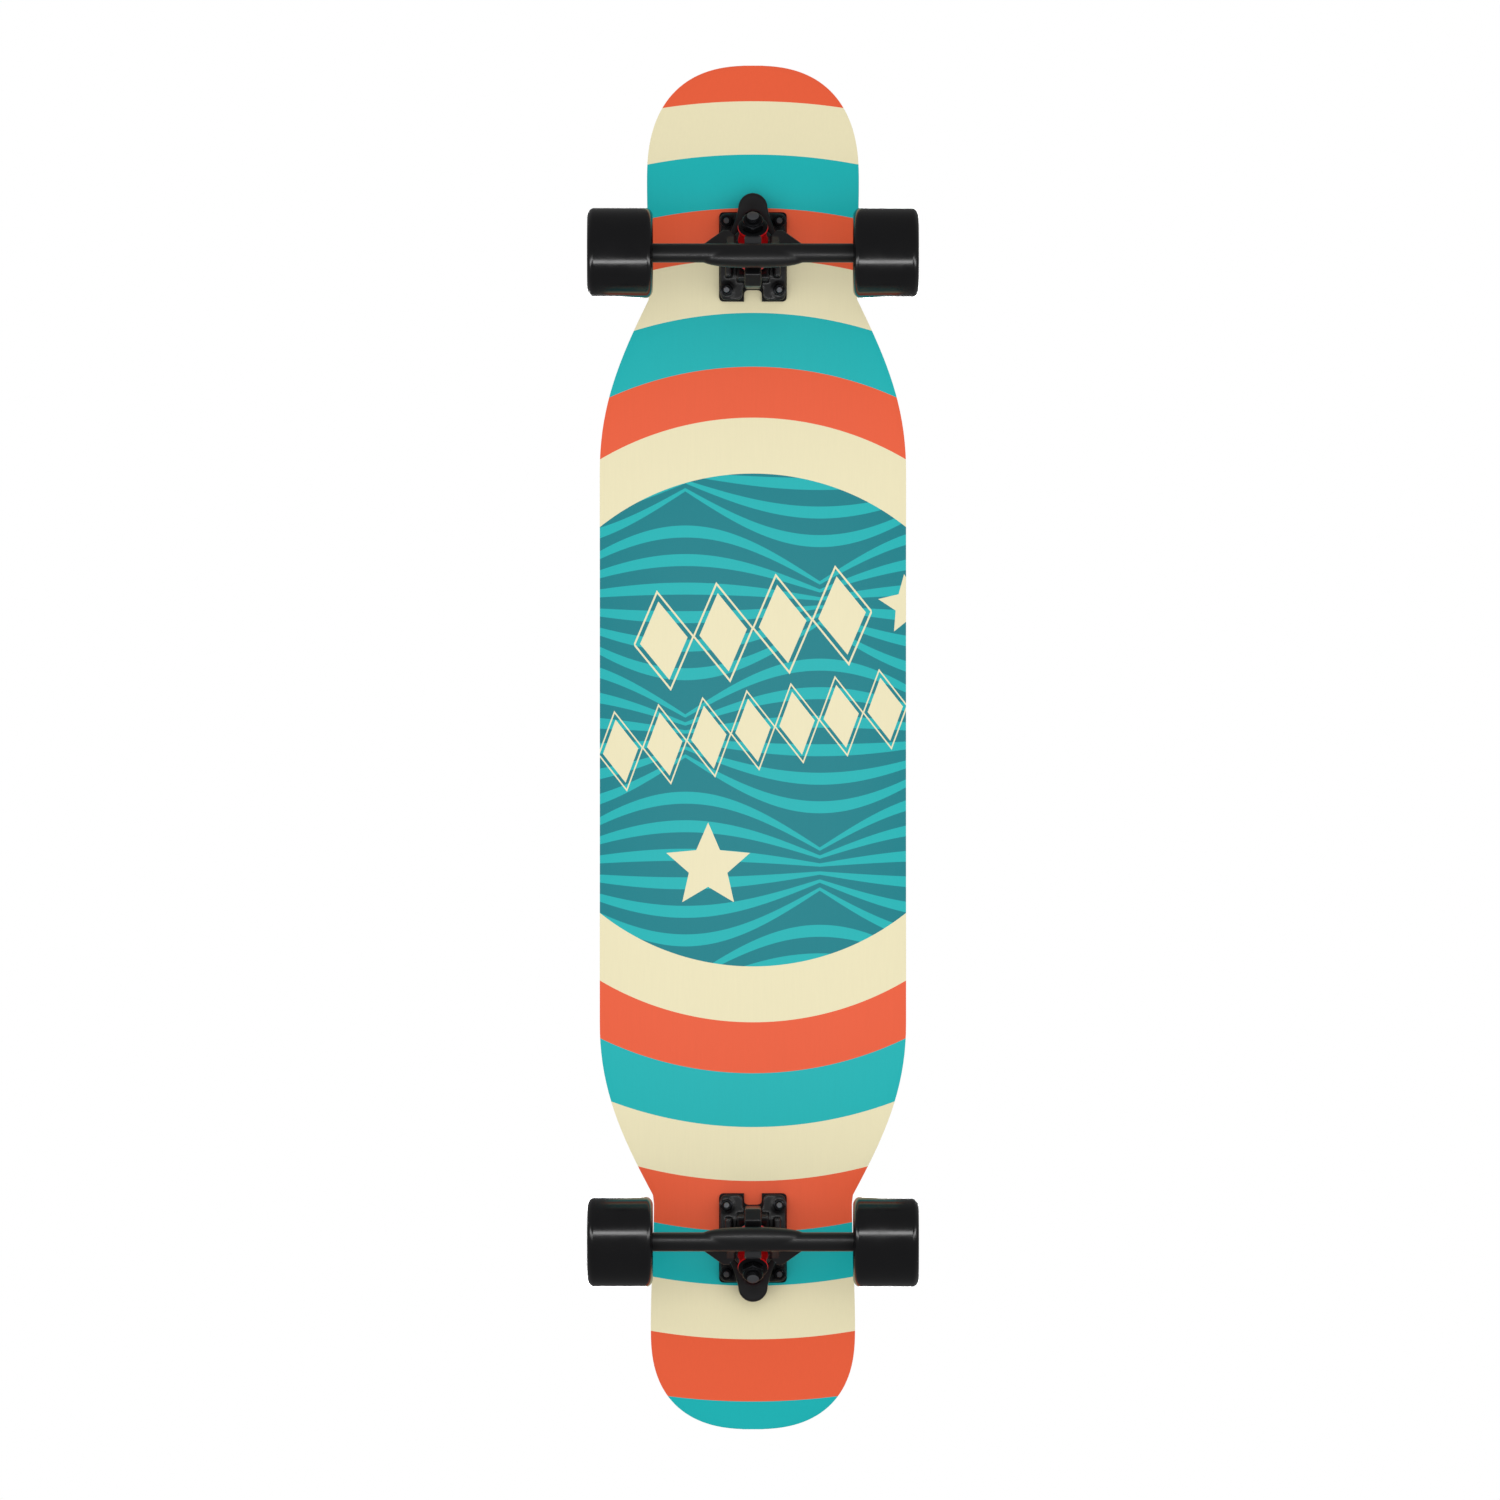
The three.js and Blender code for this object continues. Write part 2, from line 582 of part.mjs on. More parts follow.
// ---- one wheel: urethane tyre, nylon core, two bearings, and the nut that holds them on ----
function addWheel(truck, name, side) {
  const hub = new THREE.Group();
  hub.position.x = side * WHEEL_X;
  hub.rotation.z = side > 0 ? 0 : Math.PI;
  truck.add(hub);
  const edge = WHEEL.width / 2;
  const coreIn = bearingIn - CORE.flange - WHEEL_X;
  const coreOut = bearingOut + BEARING.width + CORE.flange - WHEEL_X;
  const bore = CORE_OUTER + GAP;
  const shoulder = [0, 1 / 3, 2 / 3, 1].map((share) => {
    const a = (share * Math.PI) / 2;
    const r = CREST + (WHEEL.radius - CREST) * Math.sin(a);
    return [r, edge - WHEEL.shoulder * (1 - Math.cos(a)) ** 0.8];
  });
  const inLip = shoulder.map(([r, x]) => [r, -x]);
  const tyre = [
    [bore, coreIn],
    [CREST - 2, -edge + 1.5],
    ...inLip,
    ...shoulder.reverse(),
    [CREST - 2, edge - 1.5],
    [bore, coreOut],
    [bore, coreIn],
  ];
  add(hub, `${name}_tyre`, alongX(turned(tyre, WHEEL.segments)), BLACK_URETHANE);

  const seat = BEARING.outer + GAP;
  const step = BEARING.outer - CORE.step;
  const stepIn = bearingIn + BEARING.width + GAP - WHEEL_X;
  const stepOut = bearingOut - GAP - WHEEL_X;
  const core = [
    [seat, coreIn],
    [CORE_OUTER, coreIn],
    [CORE_OUTER, coreOut],
    [seat, coreOut],
    [seat, stepOut],
    [step, stepOut],
    [step, stepIn],
    [seat, stepIn],
    [seat, coreIn],
  ];
  add(hub, `${name}_wheel_core`, alongX(turned(core, 12)), BLACK_NYLON);

  for (const [place, from] of [["inner", bearingIn], ["outer", bearingOut]]) {
    const low = from - WHEEL_X;
    const bearing = ring(BEARING_BORE, BEARING.outer, low, low + BEARING.width, 12);
    add(hub, `${name}_bearing_${place}`, alongX(bearing), RED_SHIELD);
  }

  const start = axleNutFrom - WHEEL_X;
  const nutStart = start + AXLE_NUT.ringWidth;
  const washer = solid(rod(AXLE_NUT.ring, start, nutStart + 0.2, 12));
  const hex = solid(hexagon(AXLE_NUT.flats, nutStart, nutStart + AXLE_NUT.height));
  const through = solid(rod(AXLE.radius + GAP, start - 1, nutStart + AXLE_NUT.height + 1, 12));
  const nut = geometryOf(washer.add(hex).subtract(through));
  add(hub, `${name}_axle_nut`, alongX(nut), STEEL);
}

ENDS.forEach(addTruck);

export default model;
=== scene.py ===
"""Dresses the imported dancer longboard: deck and print, grip tape, trucks, bushings, bearings and wheels."""

from __future__ import annotations

import json
import logging
import math
from contextlib import contextmanager
from dataclasses import dataclass, field
from enum import Enum
from typing import Callable, Iterator, Sequence

import bpy
from mathutils import Matrix, Vector

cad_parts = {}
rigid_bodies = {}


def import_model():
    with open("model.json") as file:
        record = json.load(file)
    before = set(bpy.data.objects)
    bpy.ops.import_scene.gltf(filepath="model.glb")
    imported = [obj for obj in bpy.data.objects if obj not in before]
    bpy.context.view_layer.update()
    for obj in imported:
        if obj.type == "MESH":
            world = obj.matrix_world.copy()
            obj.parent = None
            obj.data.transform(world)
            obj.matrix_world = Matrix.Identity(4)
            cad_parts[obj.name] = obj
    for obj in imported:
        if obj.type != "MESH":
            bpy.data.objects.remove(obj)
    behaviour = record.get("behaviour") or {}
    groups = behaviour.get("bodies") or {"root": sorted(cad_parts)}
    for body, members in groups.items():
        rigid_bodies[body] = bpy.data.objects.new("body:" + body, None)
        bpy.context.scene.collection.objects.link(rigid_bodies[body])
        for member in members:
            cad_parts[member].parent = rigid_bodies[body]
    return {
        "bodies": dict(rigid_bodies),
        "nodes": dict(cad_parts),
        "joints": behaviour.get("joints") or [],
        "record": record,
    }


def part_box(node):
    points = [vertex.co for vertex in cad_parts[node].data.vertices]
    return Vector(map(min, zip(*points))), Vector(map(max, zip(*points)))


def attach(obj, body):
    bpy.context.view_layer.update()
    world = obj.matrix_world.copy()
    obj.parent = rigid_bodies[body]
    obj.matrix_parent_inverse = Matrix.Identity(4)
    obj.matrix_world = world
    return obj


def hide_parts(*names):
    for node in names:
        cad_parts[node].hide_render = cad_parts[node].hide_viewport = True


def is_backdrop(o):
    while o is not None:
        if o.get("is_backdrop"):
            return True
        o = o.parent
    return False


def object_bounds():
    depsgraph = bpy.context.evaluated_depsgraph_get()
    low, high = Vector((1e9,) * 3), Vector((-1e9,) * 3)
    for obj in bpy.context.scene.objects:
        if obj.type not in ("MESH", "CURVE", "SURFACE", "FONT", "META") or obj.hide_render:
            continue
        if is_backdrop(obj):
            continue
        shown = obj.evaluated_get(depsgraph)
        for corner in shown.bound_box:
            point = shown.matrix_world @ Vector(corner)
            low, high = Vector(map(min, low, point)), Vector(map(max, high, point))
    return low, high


MM = 0.001
SLANT = math.radians(45)
FAR = 60.0
CLOUD_MM = 18.0
CAST_GRAIN_MM = 0.7
CAST_SMOOTHING = 5
LOG = logging.getLogger("longboard")
Outline = list[tuple[float, float]]
Tree = bpy.types.NodeTree
Node = bpy.types.Node
Socket = bpy.types.NodeSocket
Piece = bpy.types.Object


# ---------------------------------------------------------------- colours and nodes
def linear(hex_colour: str) -> tuple[float, float, float, float]:
    """Turns an sRGB hex colour into linear RGBA.

    Args:
        hex_colour: Six hex digits after a hash, such as "#1FB5B6".

    Returns:
        Red, green, blue and an alpha of 1.
    """
    parts = [int(hex_colour[i : i + 2], 16) / 255 for i in (1, 3, 5)]
    red, green, blue = [c / 12.92 if c <= 0.04045 else ((c + 0.055) / 1.055) ** 2.4 for c in parts]
    return red, green, blue, 1.0


def add_node(tree: Tree, kind: str, inputs: dict | Sequence = (), **settings) -> Node:
    """Adds one node, with its settings and links.

    Args:
        tree: The tree that gets the node.
        kind: The node's type, without the ShaderNode that starts it.
        inputs: Socket names or places and what each one gets: a value, a node or another node's socket.
        **settings: Properties of the node.

    Returns:
        The new node.
    """
    node = tree.nodes.new("ShaderNode" + kind)
    for key, value in settings.items():
        setattr(node, key, value)
    pairs = inputs.items() if isinstance(inputs, dict) else enumerate(inputs)
    for key, value in pairs:
        if isinstance(value, Node):
            value = value.outputs[0]
        if isinstance(value, Socket):
            tree.links.new(value, node.inputs[key])
        else:
            node.inputs[key].default_value = value
    return node


def per_metre(size_mm: float) -> float:
    """The texture scale at which one feature is about size_mm across."""
    return 1 / (size_mm * MM)


# ---------------------------------------------------------------- finishes
@dataclass(frozen=True)
class Finish:
    """A surface finish: a colour, how it shines, and a fine relief.

    grain_mm is the size of the relief's features and relief_mm its depth.
    """

    name: str
    colour: str
    roughness: float
    metallic: float = 0.0
    ior: float = 1.5
    specular: float = 0.5
    coat: float = 0.0
    grain_mm: float = 0.5
    relief_mm: float = 0.01
    mottle: float = 0.12
    # Colour painted on sharp edges: partly wear, partly a painted highlight where the edges would catch
    # light.
    edge_wear_and_highlight: str = ""

    def material(self) -> bpy.types.Material:
        """Makes this finish's material the first time, and gives it again after that.

        Returns:
            The material.
        """
        known = bpy.data.materials.get(self.name)
        if known:
            return known
        made = bpy.data.materials.new(self.name)
        made.use_nodes = True
        tree = made.node_tree
        shader = tree.nodes["Principled BSDF"]
        shader.inputs["Base Color"].default_value = linear(self.colour)
        shader.inputs["Metallic"].default_value = self.metallic
        shader.inputs["IOR"].default_value = self.ior
        shader.inputs["Specular IOR Level"].default_value = self.specular
        shader.inputs["Coat Weight"].default_value = self.coat
        shader.inputs["Coat Roughness"].default_value = 0.12
        place = add_node(tree, "TexCoord").outputs["Object"]
        self.dress(tree, shader, place)
        return made

    def dress(self, tree: Tree, shader: Node, place: Socket) -> None:
        """Adds the relief, the uneven shine, the colour variation and the lighter edges, which are partly
        wear and partly a painted highlight.

        Args:
            tree: The material's nodes.
            shader: Its Principled node.
            place: The Object coordinates.
        """
        fine = add_node(
            tree, "TexNoise", {"Vector": place, "Scale": per_metre(self.grain_mm), "Detail": 4.0}
        )
        broad = add_node(tree, "TexNoise", {"Vector": place, "Scale": per_metre(CLOUD_MM), "Detail": 3.0})
        less, more = 1 - self.mottle, 1 + self.mottle
        shines = {"To Min": self.roughness * less, "To Max": self.roughness * more}
        shine = add_node(tree, "MapRange", {"Value": broad, "From Min": 0.3, "From Max": 0.7, **shines})
        tree.links.new(shine.outputs[0], shader.inputs["Roughness"])
        relief = add_node(tree, "Bump", {"Height": fine, "Strength": 0.6, "Distance": self.relief_mm * MM})
        tree.links.new(relief.outputs[0], shader.inputs["Normal"])
        base = add_node(tree, "RGB")
        base.outputs[0].default_value = linear(self.colour)
        tint = add_node(tree, "MapRange", {"Value": broad, "To Min": less, "To Max": more})
        varied = add_node(tree, "HueSaturation", {"Color": base, "Value": tint})
        tree.links.new(self.worn_and_highlit_edges(tree, varied).outputs[0], shader.inputs["Base Color"])

    def worn_and_highlit_edges(self, tree: Tree, colour: Node) -> Node:
        """Lightens the sharp edges, partly as wear where the finish rubs thin and partly as a painted
        highlight, if the finish says so.

        Args:
            tree: The material's nodes.
            colour: The node that gives the colour so far.

        Returns:
            The node that gives the colour with its lighter edges, worn and painted highlight.
        """
        if not self.edge_wear_and_highlight:
            return colour
        # Pointiness finds the sharp edges, which get the lighter colour: partly wear, partly a painted
        # highlight.
        edge = add_node(tree, "NewGeometry").outputs["Pointiness"]
        sharp = {"From Min": 0.525, "From Max": 0.6, "To Max": 0.45}
        wear_and_highlight_mask = add_node(tree, "MapRange", {"Value": edge, **sharp})
        return add_node(tree, "MixRGB", {"Fac": wear_and_highlight_mask, "Color1": colour, "Color2": linear(self.edge_wear_and_highlight)})


POWDER_COAT = Finish(
    # Satin black powder coat on die-cast aluminium: a fine orange peel, and sharp edges painted lighter grey,
    # partly as wear and partly as a painted highlight.
    "powder_coated_cast_aluminium", "#121214", 0.42, coat=0.05, grain_mm=0.9, relief_mm=0.02, edge_wear_and_highlight="#5C5E62",
)
BLACK_OXIDE = Finish(
    # Black oxide on turned steel: dark, with a soft metallic sheen; its sharp edges are painted lighter grey,
    # partly as wear and partly as a painted highlight.
    "black_oxide_steel", "#202124", 0.34, metallic=0.85, grain_mm=0.25, relief_mm=0.006, edge_wear_and_highlight="#6A6C70",
)
ZINC = Finish(
    # Bright zinc on steel: silvery, slightly cloudy.
    "zinc_plated_steel", "#B9BCC0", 0.24, metallic=1.0, grain_mm=0.3, relief_mm=0.004, mottle=0.2,
)
RACE_STEEL = Finish(
    # Ground bearing steel: near mirror, with fine grinding lines.
    "ground_bearing_steel", "#C7C9CC", 0.16, metallic=1.0, grain_mm=0.15, relief_mm=0.003, mottle=0.25,
)
RED_SEAL = Finish(
    # Moulded nitrile seal: dull red.
    "red_nitrile_seal", "#B3161C", 0.55, ior=1.52, grain_mm=0.3, relief_mm=0.01,
)
BLACK_URETHANE = Finish(
    # Cast urethane, gloss black: deep, with a mould-polished skin.
    "cast_black_urethane", "#0B0B0D", 0.2, specular=0.5, coat=0.1, grain_mm=2.5, relief_mm=0.012, mottle=0.2,
)
RED_URETHANE = Finish(
    # Poured urethane, satin: strong red.
    "poured_red_urethane", "#F5161C", 0.36, specular=0.45, grain_mm=0.8, relief_mm=0.012, mottle=0.06,
)
NYLON = Finish(
    # Moulded glass-filled nylon: charcoal, slightly cloudy.
    "moulded_glass_filled_nylon", "#1D1D20", 0.5, ior=1.53, grain_mm=0.4, relief_mm=0.02,
)
DULL_STEEL = Finish(
    # Cut ends of plated bolts: grey and dull.
    "cut_bolt_end_steel", "#77797D", 0.5, metallic=0.9, grain_mm=0.3, relief_mm=0.01, mottle=0.2,
)
NYLON_INSERT = Finish(
    # Natural nylon locking ring in a nut.
    "natural_nylon_insert", "#8F9296", 0.45, ior=1.53, grain_mm=0.4, relief_mm=0.01,
)
PAD_RUBBER = Finish(
    # Moulded rubber pad: matt black with a faint bloom.
    "moulded_pad_rubber", "#131314", 0.8, specular=0.3, grain_mm=0.6, relief_mm=0.03,
)


@dataclass(frozen=True)
class GritTape(Finish):
    """Silicon carbide grit on film: black grains with scattered glints."""

    def dress(self, tree: Tree, shader: Node, place: Socket) -> None:
        """Adds the grains, drawn at 0.9 mm so that they show, their glints and a dusty variation.

        Args:
            tree: The material's nodes.
            shader: Its Principled node.
            place: The Object coordinates.
        """
        grains = add_node(tree, "TexVoronoi", {"Vector": place, "Scale": per_metre(self.grain_mm)})
        height = add_node(tree, "Math", [1.0, grains.outputs["Distance"]], operation="SUBTRACT")
        relief = add_node(tree, "Bump", {"Height": height, "Strength": 0.9, "Distance": self.relief_mm * MM})
        tree.links.new(relief.outputs[0], shader.inputs["Normal"])
        grain = add_node(tree, "SeparateColor", {"Color": grains.outputs["Color"]})
        shine = add_node(
            tree, "MapRange", {"Value": grain.outputs[0], "From Min": 0.8, "To Min": 0.95, "To Max": 0.3}
        )
        tree.links.new(shine.outputs[0], shader.inputs["Roughness"])
        dust = add_node(tree, "TexNoise", {"Vector": place, "Scale": per_metre(60), "Detail": 5.0})
        shade = add_node(tree, "Math", [grain.outputs[1], dust.outputs[0]], operation="MULTIPLY")
        ramp = add_node(tree, "ValToRGB", {"Fac": shade})
        ramp.color_ramp.elements[0].color = linear("#101011")
        ramp.color_ramp.elements[1].color = linear("#3A3A3D")
        tree.links.new(ramp.outputs[0], shader.inputs["Base Color"])


GRIT = GritTape("silicon_carbide_grip_tape", "#18181A", 0.9, specular=0.4, grain_mm=0.9, relief_mm=0.35)


@dataclass(frozen=True)
class MaplePlies(Finish):
    """The sawn and sanded edge of pressed maple plies: pale bands along the edge, thin dark glue lines."""

    plies: int = 8

    def dress(self, tree: Tree, shader: Node, place: Socket) -> None:
        """Bands the edge by the deck's own depth attribute, and adds the grain that runs along the board.

        Args:
            tree: The material's nodes.
            shader: Its Principled node.
            place: The Object coordinates.
        """
        depth = add_node(tree, "Attribute", attribute_name="ply_depth").outputs["Fac"]
        number = add_node(tree, "Math", [depth, float(self.plies)], operation="MULTIPLY")
        within = add_node(tree, "Math", [number], operation="FRACT")
        from_glue = add_node(tree, "Math", [within, 0.5], operation="SUBTRACT")
        off_centre = add_node(tree, "Math", [from_glue], operation="ABSOLUTE")
        layer = add_node(tree, "Math", [number], operation="FLOOR")
        shade = add_node(tree, "TexWhiteNoise", {"W": layer}, noise_dimensions="1D")
        long_grain = add_node(tree, "Mapping", {"Vector": place, "Scale": (1.0, 0.06, 1.0)})
        fibres = add_node(tree, "TexNoise", {"Vector": long_grain, "Scale": per_metre(1.2), "Detail": 6.0})
        mixed = add_node(tree, "Math", [shade.outputs["Value"], fibres.outputs[0]], operation="MULTIPLY")
        wood = add_node(tree, "ValToRGB", {"Fac": mixed})
        wood.color_ramp.elements[0].color = linear("#B88A56")
        wood.color_ramp.elements[1].color = linear("#E5C896")
        wood.color_ramp.elements[1].position = 0.5
        line = add_node(tree, "Math", [off_centre, 0.46], operation="GREATER_THAN")
        glued = add_node(tree, "MixRGB", {"Fac": line, "Color1": wood, "Color2": linear("#6E4C2C")})
        tree.links.new(glued.outputs[0], shader.inputs["Base Color"])
        shader.inputs["Roughness"].default_value = self.roughness
        relief = add_node(tree, "Bump", {"Height": fibres, "Strength": 0.5, "Distance": self.relief_mm * MM})
        tree.links.new(relief.outputs[0], shader.inputs["Normal"])


PLIES = MaplePlies("sanded_maple_ply_edge", "#D2AE78", 0.45, relief_mm=0.05)


@dataclass(frozen=True)
class Star:
    """A five-pointed star of the print: its centre from the medallion's, its radius and its turn."""

    right_mm: float
    up_mm: float
    radius_mm: float
    turn_deg: float = 0.0
    waist: float = 0.46


@dataclass(frozen=True)
class LozengeRow:
    """A slanted row of lozenges of the print, each with a thin line round it."""

    right_mm: float
    up_mm: float
    count: int
    pitch_mm: float
    half_height_mm: float
    slope_deg: float
    fill: float = 0.8
    line_at: float = 1.24
    line_half: float = 0.045


@dataclass(frozen=True)
class Print(Finish):
    """Screen-printed inks under a satin lacquer: flat, clean-edged colour over faintly felt maple grain.

    The print is seen from below, so its right is the board's -X and its top is the nose. Its places and
    sizes are in millimetres from the medallion's centre.
    """

    centre_y: float = 0.0215
    medallion_mm: float = 193.0
    ring_mm: float = 41.45
    tail_ring_mm: float = 9.0
    reach_mm: float = 600.0
    cream: str = "#EDE4BD"
    orange: str = "#EC5F3A"
    teal: str = "#14B4B6"
    deep_teal: str = "#00808A"
    fan_column_mm: float = 105.4
    fan_period_mm: float = 208.5
    fan_left_mm: float = -53.0
    fan_pinch_mm: float = -12.5
    stripe_min_mm: float = 6.25
    stripe_gain_mm: float = 16.1
    stripe_share: float = 0.42
    fan_stripes: int = 6
    stars: tuple[Star, ...] = (Star(-35.1, -114.8, 34.5), Star(121.8, 90.6, 24.0, 8.0))
    rows: tuple[LozengeRow, ...] = (
        LozengeRow(0.0, 72.0, 4, 47.0, 31.0, 8.0),
        LozengeRow(0.0, -8.0, 7, 35.0, 25.0, 9.0),
    )

    def dress(self, tree: Tree, shader: Node, place: Socket) -> None:
        """Draws the rings, the medallion's waves, the lozenges and the stars, then the lacquer.

        Args:
            tree: The material's nodes.
            shader: Its Principled node.
            place: The Object coordinates.
        """
        spot = add_node(tree, "SeparateXYZ", [place])
        right = add_node(tree, "Math", [spot.outputs[0], -1 / MM], operation="MULTIPLY")
        from_centre = add_node(tree, "Math", [spot.outputs[1], self.centre_y], operation="SUBTRACT")
        up = add_node(tree, "Math", [from_centre, 1 / MM], operation="MULTIPLY")
        square = add_node(tree, "Math", [right, right], operation="MULTIPLY")
        square_up = add_node(tree, "Math", [up, up, square], operation="MULTIPLY_ADD")
        distance = add_node(tree, "Math", [square_up, 0.5], operation="POWER")
        colour = self.rings(tree, distance)
        waves = self.waves(tree, right, up)
        inked = add_node(
            tree, "MixRGB", {"Fac": waves, "Color1": linear(self.deep_teal), "Color2": linear(self.teal)}
        )
        masks = [self.lozenges(tree, right, up, row) for row in self.rows]
        masks += [self.star(tree, right, up, star) for star in self.stars]
        for mask in masks:
            inked = add_node(tree, "MixRGB", {"Fac": mask, "Color1": inked, "Color2": linear(self.cream)})
        inside = add_node(tree, "Math", [distance, self.medallion_mm], operation="LESS_THAN")
        whole = add_node(tree, "MixRGB", {"Fac": inside, "Color1": colour, "Color2": inked})
        grain = add_node(tree, "Mapping", {"Vector": place, "Scale": (1.0, 0.05, 1.0)})
        fibres = add_node(
            tree, "TexNoise", {"Vector": grain, "Scale": per_metre(self.grain_mm), "Detail": 5.0}
        )
        tint = add_node(tree, "MapRange", {"Value": fibres, "To Min": 0.975, "To Max": 1.02})
        varied = add_node(tree, "HueSaturation", {"Color": whole, "Value": tint})
        tree.links.new(varied.outputs[0], shader.inputs["Base Color"])
        shader.inputs["Roughness"].default_value = self.roughness
        relief = add_node(tree, "Bump", {"Height": fibres, "Strength": 0.35, "Distance": self.relief_mm * MM})
        tree.links.new(relief.outputs[0], shader.inputs["Normal"])

    def rings(self, tree: Tree, distance: Node) -> Node:
        """The rings round the medallion, from its edge to the tips: cream, orange and teal in turn.

        Args:
            tree: The material's nodes.
            distance: The node that gives the distance from the medallion's centre.

        Returns:
            The node that gives the rings' colour.
        """
        order = [self.cream, self.orange, self.teal] * 2 + [self.cream, self.orange, self.teal]
        edges = [0.0] + [self.medallion_mm + i * self.ring_mm for i in range(1, len(order) - 1)]
        edges.append(edges[-1] + self.ring_mm + self.tail_ring_mm)
        share = add_node(tree, "Math", [distance, self.reach_mm], operation="DIVIDE")
        ramp = add_node(tree, "ValToRGB", {"Fac": share})
        ramp.color_ramp.interpolation = "CONSTANT"
        stops = ramp.color_ramp.elements
        for i, (edge, hue) in enumerate(zip(edges, order)):
            stop = stops[i] if i < 2 else stops.new(edge / self.reach_mm)
            stop.position = edge / self.reach_mm
            stop.color = linear(hue)
        return ramp

    def waves(self, tree: Tree, right: Node, up: Node) -> Node:
        """Fans of stripes that pinch together at one column and spread at the next, in two staggered sets.

        Args:
            tree: The material's nodes.
            right: The node that gives the place across the print.
            up: The node that gives the place along it.

        Returns:
            The node that is 1 on the stripes and 0 between them.
        """
        from_pinch = add_node(tree, "Math", [right, self.fan_left_mm], operation="SUBTRACT")
        column = add_node(tree, "Math", [from_pinch, self.fan_column_mm], operation="DIVIDE")
        away = add_node(tree, "Math", [column, 1.0], operation="PINGPONG")
        masks = []
        for odd in (0, 1):
            apart = add_node(tree, "Math", [1.0, away], operation="SUBTRACT") if odd else away
            turn = add_node(tree, "Math", [apart, math.pi / 2], operation="MULTIPLY")
            open_ = add_node(tree, "Math", [turn], operation="SINE")
            pitch = add_node(
                tree, "Math", [open_, self.stripe_gain_mm, self.stripe_min_mm], operation="MULTIPLY_ADD"
            )
            pinch = self.fan_pinch_mm + odd * self.fan_period_mm / 2
            height = add_node(tree, "Math", [up, pinch], operation="SUBTRACT")
            offset = add_node(tree, "Math", [height, self.fan_period_mm / 2], operation="PINGPONG")
            number = add_node(tree, "Math", [offset, pitch], operation="DIVIDE")
            within = add_node(tree, "Math", [number], operation="FRACT")
            centred = add_node(tree, "Math", [within, 0.5], operation="SUBTRACT")
            half = add_node(tree, "Math", [centred], operation="ABSOLUTE")
            stripe = add_node(tree, "Math", [half, self.stripe_share / 2], operation="LESS_THAN")
            listed = add_node(tree, "Math", [number, self.fan_stripes / 2], operation="LESS_THAN")
            masks.append(add_node(tree, "Math", [stripe, listed], operation="MULTIPLY"))
        return add_node(tree, "Math", masks, operation="MAXIMUM")

    def lozenges(
        self, tree: Tree, right: Node, up: Node, row: LozengeRow
    ) -> Node:
        """A slanted row of lozenges, each with a thin line round it.

        Args:
            tree: The material's nodes.
            right: The node that gives the place across the print.
            up: The node that gives the place along it.
            row: The row's place and sizes.

        Returns:
            The node that is 1 on the lozenges and their lines.
        """
        cos, sin = math.cos(math.radians(row.slope_deg)), math.sin(math.radians(row.slope_deg))
        x = add_node(tree, "Math", [right, row.right_mm], operation="SUBTRACT")
        y = add_node(tree, "Math", [up, row.up_mm], operation="SUBTRACT")
        x_part = add_node(tree, "Math", [x, cos], operation="MULTIPLY")
        along = add_node(tree, "Math", [y, sin, x_part], operation="MULTIPLY_ADD")
        y_part = add_node(tree, "Math", [y, cos], operation="MULTIPLY")
        across = add_node(tree, "Math", [x, -sin, y_part], operation="MULTIPLY_ADD")
        shift = row.pitch_mm / 2 if row.count % 2 == 0 else 0.0
        moved = add_node(tree, "Math", [along, shift], operation="ADD")
        near = add_node(tree, "Math", [moved, -row.pitch_mm / 2, row.pitch_mm / 2], operation="WRAP")
        side = add_node(tree, "Math", [near], operation="ABSOLUTE")
        side_share = add_node(tree, "Math", [side, row.fill * row.pitch_mm / 2], operation="DIVIDE")
        height = add_node(tree, "Math", [across], operation="ABSOLUTE")
        height_share = add_node(tree, "Math", [height, row.half_height_mm], operation="DIVIDE")
        reach = add_node(tree, "Math", [side_share, height_share], operation="ADD")
        solid = add_node(tree, "Math", [reach, 1.0], operation="LESS_THAN")
        line = add_node(tree, "Math", [reach, row.line_at, row.line_half], operation="COMPARE")
        drawn = add_node(tree, "Math", [solid, line], operation="MAXIMUM")
        span = add_node(tree, "Math", [along], operation="ABSOLUTE")
        listed = add_node(tree, "Math", [span, row.count * row.pitch_mm / 2], operation="LESS_THAN")
        return add_node(tree, "Math", [drawn, listed], operation="MULTIPLY")

    def star(
        self, tree: Tree, right: Node, up: Node, star: Star
    ) -> Node:
        """A five-pointed star: inside the straight lines that join its points to its waist.

        Args:
            tree: The material's nodes.
            right: The node that gives the place across the print.
            up: The node that gives the place along it.
            star: The star's place and sizes.

        Returns:
            The node that is 1 on the star.
        """
        fifth = math.pi / 5
        inner = star.waist * star.radius_mm
        x = add_node(tree, "Math", [right, star.right_mm], operation="SUBTRACT")
        y = add_node(tree, "Math", [up, star.up_mm], operation="SUBTRACT")
        angle = add_node(tree, "Math", [x, y], operation="ARCTAN2")
        turned_by = add_node(tree, "Math", [angle, math.radians(star.turn_deg)], operation="ADD")
        near = add_node(tree, "Math", [turned_by, fifth], operation="PINGPONG")
        rest = add_node(tree, "Math", [fifth, near], operation="SUBTRACT")
        sin_near = add_node(tree, "Math", [near], operation="SINE")
        sin_rest = add_node(tree, "Math", [rest], operation="SINE")
        inner_part = add_node(tree, "Math", [sin_rest, inner], operation="MULTIPLY")
        below = add_node(tree, "Math", [sin_near, star.radius_mm, inner_part], operation="MULTIPLY_ADD")
        edge = add_node(tree, "Math", [star.radius_mm * inner * math.sin(fifth), below], operation="DIVIDE")
        square = add_node(tree, "Math", [x, x], operation="MULTIPLY")
        both = add_node(tree, "Math", [y, y, square], operation="MULTIPLY_ADD")
        distance = add_node(tree, "Math", [both, 0.5], operation="POWER")
